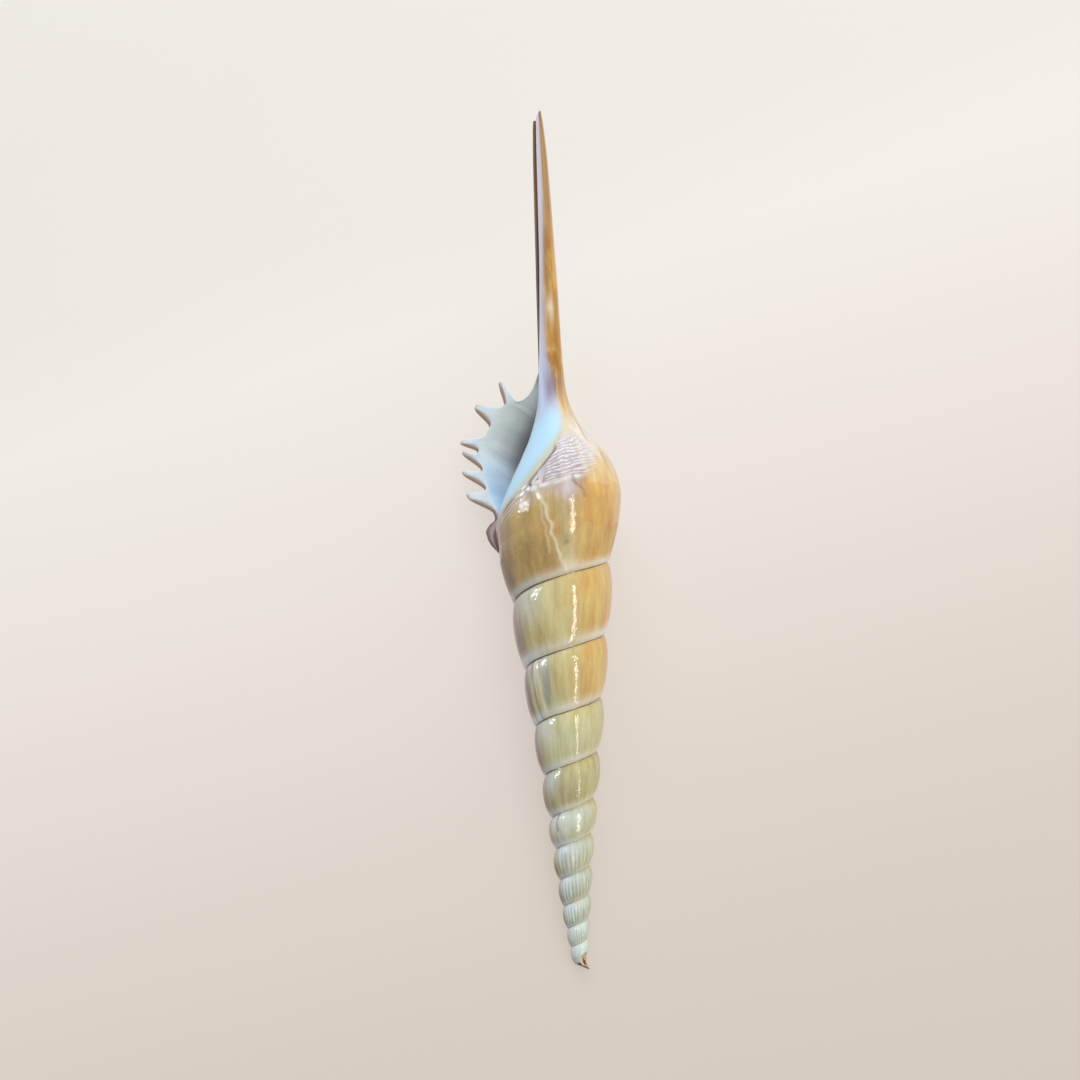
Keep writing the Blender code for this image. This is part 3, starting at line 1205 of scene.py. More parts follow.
@dataclass(frozen=True)
class GroundColours:
    """Colours of the whorls by their age, from olive at the lip to ice at the apex.

    A stop has a turn and the two colours that mingle there.
    """

    stops: tuple[tuple[float, Vector, Vector], ...] = (
        (0.0, Colours.olive, Colours.olive), (-0.35, Colours.olive, Colours.olive),
        (-1.0, Colours.straw, Colours.straw), (-2.25, Colours.straw, Colours.pale_green),
        (-3.25, Colours.pale_green, Colours.straw), (-4.25, Colours.moss, Colours.straw),
        (-5.25, Colours.bone, Colours.pale_green), (-7.2, Colours.bone, Colours.pale_green),
        (-8.4, Colours.ice, Colours.bone), (-10.5, Colours.ice, Colours.ice))
    mingling: Waver = Waver(3.1, 0.35, 2.0, 1.8)
    young: Fade = Fade(-3.2, -2.2)
    # A golden right-hand side of each young whorl: partly its own colour, partly painted warm
    # light.
    golden_side: Fade = Fade(0.02, 0.10)
    gold_tint: float = 0.62
    mingled_gold: float = 0.3
    amber_grain: Waver = Waver(7.0, 0.56, 5.0)
    amber_spots: Fade = Fade(0.25, 0.65)
    amber_side: Fade = Fade(-0.1, 0.0)
    amber_tint: float = 0.4
    orange_spot: Spot = Spot(Bell(-1.17, 0.035), Bell(2.35, 0.35, 0.6))

    def colour(self, tones: Colours, turn: float, place: float) -> Vector:
        """Colour of a whorl before its tints.

        Args:
            tones: the shell's colours.
            turn: where it is, in trips round the axis.
            place: the station.

        Returns:
            The linear colour.
        """
        mingled = smooth_step(0.5 + self.mingling.at(turn, place))
        later, earlier = next((pair for pair in zip(self.stops, self.stops[1:])
                               if turn >= pair[1][0]), self.stops[-2:])
        part = clamp((later[0] - turn) / (later[0] - earlier[0]))
        colour = later[1].lerp(later[2], mingled).lerp(earlier[1].lerp(earlier[2], mingled), part)
        phase, young = phase_of(turn), self.young.at(turn)
        # Gold on the right-hand side as seen from the front: partly the shell's colour, partly
        # painted warm light.
        golden = young * self.golden_side.at(phase)
        colour = colour.lerp(tones.gold, golden * (self.gold_tint + self.mingled_gold * mingled))
        spots = self.amber_spots.at(self.amber_grain.at(turn, place)) * self.amber_side.at(phase)
        colour = colour.lerp(tones.amber, self.amber_tint * young * spots)
        return colour.lerp(tones.amber, self.orange_spot.at(turn, place))


@dataclass(frozen=True)
class SideShadeAndSheen:
    """Painted light on each whorl as seen from the front: mauve painted shade along its sides, a
    painted pearly sheen beside the front, painted shade under it, and two old patches.
    """

    old: Fade = Fade(-4.0, -6.0)
    middle: Fade = Fade(-0.9, -1.3)
    left: Fade = Fade(-0.09, -0.22)
    left_end: Fade = Fade(-0.42, -0.36)
    left_shade: float = 0.8
    middle_shade: float = 0.18
    old_loss: float = 0.43
    right: Fade = Fade(0.18, 0.24)
    right_end: Fade = Fade(0.45, 0.39)
    right_shade: float = 0.38
    sheen: Bell = Bell(-0.13, 0.065)
    old_sheen_step: float = 0.03
    old_sheen_spread: float = 0.02
    sheen_height: Fade = Fade(0.3, 0.75)
    sheen_strength: float = 0.45
    old_sheen_strength: float = 0.35
    under: Fade = Fade(0.4, 0.05)
    under_side: Fade = Fade(0.03, -0.12)
    under_shade: float = 0.5
    slate_patch: Spot = Spot(Bell(-2.325, 0.022), Bell(1.65, 1.35, 0.7))
    brown_patch: Spot = Spot(Bell(-2.43, 0.03), Bell(1.35, 1.5, 0.5))

    def edges(self, colour: Vector, tones: Colours, turn: float) -> Vector:
        """Lay the mauve edges, painted shade along both sides of each whorl as seen from the
        front, over a colour.

        Args:
            colour: the colour below.
            tones: the shell's colours.
            turn: where it is, in trips round the axis.

        Returns:
            The colour with its edges.
        """
        phase, old = phase_of(turn), self.old.at(turn)
        # Painted shade: mauve darkening along the lip's side of each whorl, and a thinner band
        # along its far right side.
        side = self.left.at(phase) * self.left_end.at(phase)
        tint = self.left_shade + self.middle_shade * self.middle.at(turn) - self.old_loss * old
        colour = colour.lerp(tones.mauve, side * tint)
        side = self.right.at(phase) * self.right_end.at(phase)
        return colour.lerp(tones.mauve, self.right_shade * side * (1.0 - 0.5 * old))

    def sheens(self, colour: Vector, tones: Colours, turn: float, place: float,
               share: float) -> Vector:
        """Lay the painted sheen, the painted shade and two old patches over a colour of the
        spire.

        Args:
            colour: the colour below.
            tones: the shell's colours.
            turn: where it is, in trips round the axis.
            place: the station.
            share: share of the way up the whorl.

        Returns:
            The colour with them.
        """
        phase, old = phase_of(turn), self.old.at(turn)
        # Painted sheen: a pearly highlight on the upper part of each whorl, on the lip's side of
        # the front.
        sheen = bump(phase, self.sheen.centre + self.old_sheen_step * old,
                     self.sheen.width + self.old_sheen_spread * old)
        sheen *= self.sheen_height.at(share)
        colour = colour.lerp(tones.pearl, sheen * (self.sheen_strength + self.old_sheen_strength * old))
        # Painted shade under each older whorl on the lip's side.
        under = self.under.at(share) * self.under_side.at(phase) * self.left_end.at(phase)
        colour = colour.lerp(tones.shade, self.under_shade * old * under)
        colour = colour.lerp(tones.slate, self.slate_patch.at(turn, place))
        return colour.lerp(tones.bark, self.brown_patch.at(turn, place))


@dataclass(frozen=True)
class LastWhorlSpots:
    """Patches and specks of the last whorl under its film."""

    grey_streak: Bell = Bell(-0.228, 0.016, 0.6)
    grey_end: Fade = Fade(4.2, 3.4)
    pale_blotch: Spot = Spot(Bell(-0.215, 0.022), Bell(0.5, 0.45, 0.7))
    speck: Spot = Spot(Bell(-0.226, 0.011), Bell(1.75, 0.28, 0.4))
    speck_grain: Waver = Waver(60.0, 2.1, 21.0, 1.6)
    speck_mean: float = 0.6
    tongue: Spot = Spot(Bell(-0.215, 0.028), Bell(4.35, 0.5, 0.75))

    def paint(self, colour: Vector, tones: Colours, turn: float, place: float) -> Vector:
        """Lay the patches and specks over a colour.

        Args:
            colour: the colour below.
            tones: the shell's colours.
            turn: where it is, in trips round the axis.
            place: the station.

        Returns:
            The colour with them.
        """
        grey = self.grey_streak.at(turn) * self.grey_end.at(place)
        colour = colour.lerp(tones.moss, grey).lerp(tones.cream, self.pale_blotch.at(turn, place))
        grain = self.speck_mean + self.speck_grain.at(turn, place)
        return colour.lerp(tones.soil, self.speck.at(turn, place) * grain)


@dataclass(frozen=True)
class Inside:
    """Colours over the lip's rim, inside the aperture and along the canal's thin wall, with
    painted shade deep in the aperture, under the spines and along the wall.
    """

    pearl_strength: float = 1.1
    low: Fade = Fade(5.8, 3.2)
    low_sky: float = 0.6
    low_tint: float = 0.9
    bone_belt: Bell = Bell(6.8, 1.6, 0.5)
    # Painted shade deep inside the aperture.
    shade_start: float = 0.06
    early_shade: float = 0.025
    early_shade_fade: Fade = Fade(4.2, 5.4)
    shade_strength: float = 1.3
    shade_tint: float = 0.7
    shade_length: float = 0.08
    shadow_step: float = 0.01
    shadow_length: float = 0.10
    glazed_end: Fade = Fade(0.86, 1.0)
    brown_foot: Fade = Fade(2.3, 1.9)
    gutter: Fade = Fade(8.8, 10.0)
    gutter_shadow: float = 0.7
    gutter_end: Fade = Fade(12.2, 14.2)
    rim_foot: Fade = Fade(2.3, 2.0)
    rim_tan: Fade = Fade(0.1, 0.4)
    foot_strength: float = 0.8
    spine_base: Fade = Fade(0.15, 0.65)
    spine_gap: Fade = Fade(1.9, 1.4)
    spine_tip: Bell = Bell(0.0, 0.28)
    tip_crest: Bell = Bell(0.5, 0.16, 0.55)
    light_start: float = 0.24
    spine_delay: float = 0.34
    foot_delay: float = 0.22
    light_length: float = 0.40

    def wall(self, tones: Colours, place: float) -> Vector:
        """Colour of the thin left wall along the canal: partly the wall's plum, partly painted
        shadow in the slot.
        """
        # Painted shadow in the slot, fading to brown towards the tip.
        return (tones.plum * self.gutter_shadow).lerp(tones.bark, self.gutter_end.at(place))

    def cavity(self, tones: Colours, share: float, place: float) -> Vector:
        """Colour inside the aperture, darkened towards its inner edge with painted shade.

        Args:
            tones: the shell's colours.
            share: 0 at the lip's inner base, 1 at the aperture's inner edge.
            place: the station.

        Returns:
            The linear colour.
        """
        low_tone = tones.lavender.lerp(tones.sky_glaze, self.low_sky)
        colour = tones.pearl * self.pearl_strength
        colour = colour.lerp(low_tone, self.low_tint * self.low.at(place))
        colour = colour.lerp(tones.bone, self.bone_belt.at(place))
        # Painted shade: darker deeper inside the aperture.
        reach = share - self.shade_start + self.early_shade * self.early_shade_fade.at(place)
        shaded = self.shade_tint * smooth_step(reach / self.shade_length)
        colour = colour.lerp(tones.shade * self.shade_strength, shaded)
        deep = smooth_step((reach - self.shadow_step) / self.shadow_length)
        colour = colour.lerp(tones.deep, deep)
        colour = colour.lerp(tones.sky_glaze, self.glazed_end.at(share))
        colour = colour.lerp(tones.bark, self.brown_foot.at(place))
        return colour.lerp(self.wall(tones, place), self.gutter.at(place))

    def rim(self, tones: Colours, lip: OuterLip, share: float, place: float) -> Vector:
        """Colour over the lip's rim, dark on the outside and under each spine, where the dark is
        partly the outer colour and partly painted shade.

        Args:
            tones: the shell's colours.
            lip: the outer lip, for its spines.
            share: 0 at the rim's outer base, 1 at its inner base.
            place: the station.

        Returns:
            The linear colour.
        """
        foot = self.rim_foot.at(place)
        outer = tones.bark.lerp(tones.tan, self.rim_tan.at(share))
        outer = outer.lerp(tones.mauve * self.foot_strength, foot)
        light = tones.pearl.lerp(tones.furrow, foot)
        under = tip = 0.0
        # Painted shade under each spine, partly the shell's outer colour.
        for centre, half, _ in lip.spines[1:]:
            side = (centre - place) / half
            under += self.spine_base.at(side) * self.spine_gap.at(side)
            tip += self.spine_tip.at(side)
        start = self.light_start + self.spine_delay * min(under, 1.0) + self.foot_delay * foot
        light = light.lerp(tones.tan, min(tip, 1.0) * self.tip_crest.at(share))
        colour = outer.lerp(light, smooth_step((share - start) / self.light_length))
        return colour.lerp(self.wall(tones, place), self.gutter.at(place))


@dataclass(frozen=True)
class GrowthLines:
    """Fine growth lines over the whole shell, and wrinkles on the last whorl."""

    fine: Waver = Waver(45.0, 0.35, 3.0, 0.04)
    broad: Waver = Waver(13.0, 0.35, 8.0, 0.09)
    glaze_calm: float = 0.7
    rib_calm: float = 0.5
    canal_calm: float = 0.8
    canal: Fade = Fade(9.0, 10.5)
    foot: Waver = Waver(30.0, 0.35, 17.0, 0.1)
    foot_top: Fade = Fade(1.7, 1.2)
    foot_start: Fade = Fade(0.25, 0.55)
    creased: Spot = Spot(Bell(-0.30, 0.10), Bell(4.6, 0.9, 0.35))
    creases: Waver = Waver(30.0, 1.6, 6.0, 1.0)
    crease_width: float = 0.25

    def lines(self, turn: float, place: float, glaze: float, ribs: float) -> float:
        """Height of the growth lines.

        Args:
            turn: where it is, in trips round the axis.
            place: the station.
            glaze: how much white glaze covers it.
            ribs: how fully the ribs are grown there.

        Returns:
            The height in millimetres on a whorl of full size.
        """
        calm = (1.0 - self.glaze_calm * glaze) * (1.0 - self.rib_calm * ribs)
        calm *= 1.0 - self.canal_calm * self.canal.at(place)
        return calm * (self.fine.at(turn, place) + self.broad.at(turn, place))

    def wrinkles(self, turn: float, place: float) -> float:
        """Height of the last whorl's wrinkles at its foot and beside the glaze.

        Args:
            turn: where it is, in trips round the axis.
            place: the station.

        Returns:
            The height in millimetres.
        """
        foot = self.foot_top.at(place) * self.foot_start.at(place) * self.foot.at(turn, place)
        crease = max(self.crease_width - abs(self.creases.at(turn, place)), 0.0)
        return foot - self.creased.at(turn, place) * crease


class Pattern:
    """Colour and fine relief over the shell, by turn and place."""

    # A long scar down the last whorl and a thin one beside it, three faint ones over its
    # shoulder, two beside each other two whorls back, and a hooked one five whorls back.
    scars = (
        Mark(((0.0, -0.225), (0.9, -0.245), (2.0, -0.258), (3.0, -0.267), (3.8, -0.275),
              (4.9, -0.30)), width=0.0040, height=0.16, colour=0.85),
        Mark(((1.6, -0.272), (2.4, -0.276), (3.7, -0.285)), width=0.003, height=0.05,
             colour=0.4),
        Mark(((4.8, -0.142), (5.5, -0.155), (6.3, -0.15), (7.2, -0.165)), width=0.012,
             height=0.04, colour=0.35),
        Mark(((4.6, -0.105), (5.4, -0.115), (6.2, -0.10), (7.5, -0.135)), width=0.014,
             height=0.03, colour=0.3),
        Mark(((4.7, -0.065), (5.4, -0.045), (6.1, -0.03), (7.6, -0.09)), width=0.014,
             height=0.03, colour=0.35),
        Mark(((0.0, -2.345), (1.5, -2.35), (2.7, -2.37)), width=0.008, height=0.14,
             colour=0.8),
        Mark(((0.2, -2.39), (2.6, -2.41)), width=0.005, height=0.08, colour=0.4),
        Mark(((0.5, -5.19), (0.75, -5.25), (1.3, -5.315), (2.0, -5.335), (3.0, -5.33)),
             width=0.012, height=0.16, colour=0.4),
    )
    # Crevices beside the knot, beside the older scars, across the whorl before the last,
    # along the edge of the white glaze, and a thin slanted one at the end of the film.
    crevices = (
        Mark(((5.3, -0.317), (5.75, -0.292), (6.1, -0.267), (6.45, -0.240)), width=0.005,
             height=-0.15, colour=0.9),
        Mark(((0.3, -2.375), (2.7, -2.39)), width=0.004, height=-0.05, colour=0.6),
        Mark(((0.4, -2.42), (2.8, -2.44)), width=0.004, height=-0.05, colour=0.6),
        Mark(((1.7, -5.352), (2.2, -5.36), (2.9, -5.35)), width=0.009, height=-0.12,
             colour=0.6),
        Mark(((0.4, -1.31), (1.5, -1.335), (2.8, -1.36)), width=0.004, height=0.0,
             colour=0.16),
        Mark(((3.1, -0.50), (4.0, -0.443), (4.6, -0.396), (5.0, -0.345)), width=0.004,
             height=-0.08, colour=0.6),
        Mark(((4.15, -0.177), (4.45, -0.190), (4.7, -0.201)), width=0.0035, height=-0.03,
             colour=0.4),
    )
    full_whorl = 16.0
    # Painted shade over the lower side of the first whorl, beside the broken apex.
    shaded_apex = Fade(-10.35, -10.6)
    shaded_apex_side = Fade(1.6, 0.8)
    apex_shade_tint = 0.8

    def __init__(self, form: Form, colours: Colours) -> None:
        """Keep the form and the colours, and set out the features.

        Args:
            form: where the shell's points lie.
            colours: its colours.
        """
        self.form, self.colours = form, colours
        self.ground, self.sides, self.spots = GroundColours(), SideShadeAndSheen(), LastWhorlSpots()
        self.suture, self.ribs, self.lines = Suture(), Ribs(), GrowthLines()
        self.film, self.cords, self.hem, self.knot = Film(), Cords(), Hem(), Knot()
        self.crinkles, self.folds, self.terraces = Crinkles(), Folds(), Terraces()
        self.inner_lip, self.canal, self.inside = InnerLip(), Canal(), Inside()

    def seam(self, turn: float, place: float) -> float:
        """Distance from the nearest suture, in widths of its dark line there."""
        return self.suture.line_widths(self.form.from_suture(turn, place), turn)

    def outer_colour(self, turn: float, place: float) -> Vector:
        """Colour of the outer surface under the white glaze.

        Args:
            turn: where it is, in trips round the axis.
            place: the station.

        Returns:
            The linear colour.
        """
        tones = self.colours
        share = place / self.form.whorl.corner
        colour = self.ground.colour(tones, turn, place)
        # Painted shade along the sides of each whorl.
        colour = self.sides.edges(colour, tones, turn)
        if turn > self.form.spire.break_turn:
            colour = self.last_whorl(colour, turn, place)
        else:
            # Painted sheen and painted shade on the spire's whorls.
            colour = self.sides.sheens(colour, tones, turn, place, share)
        colour = self.suture.paint(colour, tones, turn, share)
        # Painted shade over the first whorl's lower side.
        apex_shade = self.shaded_apex.at(turn) * self.shaded_apex_side.at(place)
        colour = colour.lerp(tones.shade, self.apex_shade_tint * apex_shade)
        colour = self.ribs.paint(colour, tones, turn, share)
        for scar in self.scars:
            colour = colour.lerp(tones.cream, scar.colour * scar.strength(turn, place))
        # Crevices are painted dark: partly their own colour, partly painted shade in the crevice.
        for crevice in self.crevices:
            colour = colour.lerp(tones.soil, crevice.colour * crevice.strength(turn, place))
        return colour

    def last_whorl(self, colour: Vector, turn: float, place: float) -> Vector:
        """Lay the last whorl's spots, film, waves and canal over a colour.

        Args:
            colour: the colour below.
            turn: where it is, in trips round the axis.
            place: the station.

        Returns:
            The colour with them.
        """
        tones = self.colours
        colour = self.spots.paint(colour, tones, turn, place)
        film = self.cords.paint(self.film.colour(tones, place), tones, turn, place)
        colour = colour.lerp(film, self.film.strength * self.film.cover(turn, place))
        colour = colour.lerp(tones.lilac, self.spots.tongue.at(turn, place))
        # Crests are lightened and hollows darkened along each wave's relief: partly their own
        # colours, partly painted highlight and painted shade.
        for waves, crest, hollow in ((self.crinkles, tones.lilac, tones.mauve),
                                     (self.folds, tones.cream, tones.tan),
                                     (self.terraces, tones.lilac, tones.mauve)):
            wave = waves.wave(turn, place)
            colour = colour.lerp(crest if wave > 0.0 else hollow, waves.tint * abs(wave))
        for feature in (self.hem, self.knot):
            colour = colour.lerp(tones.white, feature.tint * feature.strength(turn, place))
        return self.canal.paint(colour, tones, turn, place)

    def colour(self, turn: float, place: float, glaze: float, inside: float) -> Vector:
        """Colour of a point.

        Args:
            turn: turn of the point, or its share of the way inside.
            place: its station.
            glaze: how much white glaze covers it.
            inside: 0 outside, up to 1 over the rim, beyond 1 in the cavity.

        Returns:
            The linear colour.
        """
        if inside >= 1.0:
            return self.inside.cavity(self.colours, inside - 1.0, place)
        if inside > 0.0:
            return self.inside.rim(self.colours, self.form.lip, inside, place)
        white = self.inner_lip.colour(self.colours, turn, place)
        return self.outer_colour(turn, place).lerp(white, glaze)

    def relief(self, turn: float, place: float, glaze: float, inside: float) -> float:
        """Height of the fine relief.

        Args:
            turn: turn of the point, or its share of the way inside.
            place: its station.
            glaze: how much white glaze covers it.
            inside: 0 outside, more over the rim and in the cavity.

        Returns:
            The height in millimetres.
        """
        if inside > 0.0:
            return 0.0
        size = min(self.form.whorl_height(turn) / self.full_whorl, 1.0)
        last = turn > self.form.spire.break_turn
        share = place / self.form.whorl.corner
        height = size * self.lines.lines(turn, place, glaze, self.ribs.share(turn))
        if (share < 1.0 or not last) and turn > self.form.spire.first_turn + 1.0:
            distance = self.form.from_suture(turn, place)
            height += self.suture.relief(distance, turn, size, share < 0.5)
        if share <= 1.0:
            height += self.ribs.relief(turn, share)
        for mark in self.scars + self.crevices:
            height += size * mark.height * mark.strength(turn, place)
        if last:
            height += self.lines.wrinkles(turn, place)
            for waves in (self.cords, self.terraces, self.crinkles, self.folds):
                height += waves.height * waves.wave(turn, place)
            for feature in (self.hem, self.knot):
                height += feature.height * feature.strength(turn, place)
            thinning = self.inner_lip.thinning.at(place)
            height += self.inner_lip.thickness * glaze * thinning
        return height


class Finish(Enum):
    """The shell's two finishes, by the number of their material slot."""

    GLOSSY = 0
    DULL = 1


@dataclass(frozen=True)
class Glaze:
    """A glossy finish with growth streaks, spiral grooves and a dark line at the suture."""

    name: str = "shell_glaze"
    roughness: float = 0.16
    coat: float = 0.6
    coat_roughness: float = 0.05
    specular: float = 0.35
    streak_scale: Point = (26.0, 1.1, 1.0)
    streak_detail: float = 5.0
    streak_roughness: float = 0.66
    streak_range: tuple[float, float] = (0.25, 0.75)
    streak: float = 0.30
    glazed_streak: float = 0.02
    seam_colour: Point = (0.11, 0.062, 0.038, 1.0)
    seam_range: tuple[float, float] = (0.4, 1.3)
    seam_strength: float = 0.9
    groove_scale: Point = (60.0, 22.0, 1.0)
    groove_detail: float = 2.0
    groove_depth: float = 0.00009
    groove_strength: float = 0.5

    def material(self) -> bpy.types.Material:
        """Make the material.

        Returns:
            The material, which reads the shell's growth map and its painted attribute.
        """
        material = bpy.data.materials.new(self.name)
        material.use_nodes = True
        tree = material.node_tree
        nodes, links = tree.nodes, tree.links
        shader = nodes["Principled BSDF"]
        shader.inputs["Roughness"].default_value = self.roughness
        shader.inputs["Specular IOR Level"].default_value = self.specular
        shader.inputs["Coat Weight"].default_value = self.coat
        shader.inputs["Coat Roughness"].default_value = self.coat_roughness
        paint = nodes.new("ShaderNodeAttribute")
        paint.attribute_name = "paint"
        tinted = self.blend(tree, "OVERLAY", paint.outputs["Color"], self.bare(tree))
        links.new(self.streaks(tree), tinted.node.inputs["B"])
        lined = self.blend(tree, "MIX", tinted, self.seam(tree))
        lined.node.inputs["B"].default_value = self.seam_colour
        links.new(lined, shader.inputs["Base Color"])
        grooves = self.grooves(tree)
        links.new(grooves, shader.inputs["Normal"])
        links.new(grooves, shader.inputs["Coat Normal"])
        return material

    @staticmethod
    def blend(tree: bpy.types.NodeTree, mode: str, lower: bpy.types.NodeSocket,
              share: bpy.types.NodeSocket) -> bpy.types.NodeSocket:
        """Blend a colour with another one, which the caller sets.

        Args:
            tree: node tree to add to.
            mode: how they blend.
            lower: lower colour.
            share: share of the upper colour.

        Returns:
            The blended colour's socket.
        """
        node = tree.nodes.new("ShaderNodeMix")
        node.data_type = "RGBA"
        node.blend_type = mode
        tree.links.new(lower, node.inputs["A"])
        tree.links.new(share, node.inputs["Factor"])
        return node.outputs["Result"]

    @staticmethod
    def grain(tree: bpy.types.NodeTree, scale: Point, detail: float,
              roughness: float = 0.5) -> bpy.types.NodeSocket:
        """Random grain stretched along the growth map.

        Args:
            tree: node tree to add to.
            scale: humps to a turn and to a whorl.
            detail: how many finer layers it has.
            roughness: how strong the finer layers are.

        Returns:
            The grain's socket.
        """
        growth = tree.nodes.new("ShaderNodeUVMap")
        growth.uv_map = "growth"
        stretch = tree.nodes.new("ShaderNodeMapping")
        stretch.inputs["Scale"].default_value = scale
        grain = tree.nodes.new("ShaderNodeTexNoise")
        grain.noise_dimensions = "2D"
        grain.inputs["Scale"].default_value = 1.0
        grain.inputs["Detail"].default_value = detail
        grain.inputs["Roughness"].default_value = roughness
        tree.links.new(growth.outputs["UV"], stretch.inputs["Vector"])
        tree.links.new(stretch.outputs["Vector"], grain.inputs["Vector"])
        return grain.outputs["Fac"]

    def streaks(self, tree: bpy.types.NodeTree) -> bpy.types.NodeSocket:
        """Growth streaks across each whorl.

        Args:
            tree: node tree to add to.

        Returns:
            The socket of a grey that varies round the middle.
        """
        grain = self.grain(tree, self.streak_scale, self.streak_detail, self.streak_roughness)
        spread = tree.nodes.new("ShaderNodeMapRange")
        spread.inputs["From Min"].default_value, spread.inputs["From Max"].default_value = (
            self.streak_range)
        tree.links.new(grain, spread.inputs["Value"])
        return spread.outputs["Result"]

    def grooves(self, tree: bpy.types.NodeTree) -> bpy.types.NodeSocket:
        """Very fine spiral grooves in the glaze.

        Args:
            tree: node tree to add to.

        Returns:
            The socket of their normal.
        """
        relief = tree.nodes.new("ShaderNodeBump")
        relief.inputs["Strength"].default_value = self.groove_strength
        relief.inputs["Distance"].default_value = self.groove_depth
        grain = self.grain(tree, self.groove_scale, self.groove_detail)
        tree.links.new(grain, relief.inputs["Height"])
        return relief.outputs["Normal"]

    def bare(self, tree: bpy.types.NodeTree) -> bpy.types.NodeSocket:
        """Strength of the streaks, which the white glaze hides.

        Args:
            tree: node tree to add to.

        Returns:
            The strength's socket.
        """
        zones = tree.nodes.new("ShaderNodeUVMap")
        zones.uv_map = "zones"
        split = tree.nodes.new("ShaderNodeSeparateXYZ")
        fade = tree.nodes.new("ShaderNodeMapRange")
        fade.inputs["To Min"].default_value = self.streak
        fade.inputs["To Max"].default_value = self.glazed_streak
        tree.links.new(zones.outputs["UV"], split.inputs["Vector"])
        tree.links.new(split.outputs["X"], fade.inputs["Value"])
        return fade.outputs["Result"]

    def seam(self, tree: bpy.types.NodeTree) -> bpy.types.NodeSocket:
        """Thin dark line along the suture.

        Args:
            tree: node tree to add to.

        Returns:
            The socket of the line's strength.
        """
        distance = tree.nodes.new("ShaderNodeAttribute")
        distance.attribute_name = "seam"
        line = tree.nodes.new("ShaderNodeMapRange")
        line.interpolation_type = "SMOOTHSTEP"
        line.inputs["From Min"].default_value, line.inputs["From Max"].default_value = (
            self.seam_range)
        line.inputs["To Min"].default_value = self.seam_strength
        line.inputs["To Max"].default_value = 0.0
        tree.links.new(distance.outputs["Fac"], line.inputs["Value"])
        return line.outputs["Result"]


@dataclass(frozen=True)
class Ring:
    """A ring of the broken apex.

    It has a size and a step from the ring before, its share of the swing from the cut to
    the mouth, and a colour.
    """

    size: float
    step: Point
    swing: float
    colour: Vector


@dataclass(frozen=True)
class Breakage:
    """The broken apex: where it is cut off, and the hollow inside its rim."""

    place: Point = (-0.296, 0.296, -0.229)
    facing: Point = (0.62, -0.62, 0.48)
    mouth: Point = (0.78, 0.36, 0.50)
    rings: tuple[Ring, ...] = (
        Ring(0.94, (0.06, -0.12, 0.0), 0.1, Colours.bone),
        Ring(0.74, (0.42, -0.92, -0.05), 0.9, Colours.broken),
        Ring(0.76, (0.05, 0.02, 0.03), 0.0, Colours.broken),
        # The last two rings are dark: painted shadow inside the hole.
        Ring(0.85, (-0.30, -0.14, -0.20), 0.0, Colours.hollow),
        Ring(0.6, (-0.30, -0.14, -0.20), 0.0, Colours.hollow))


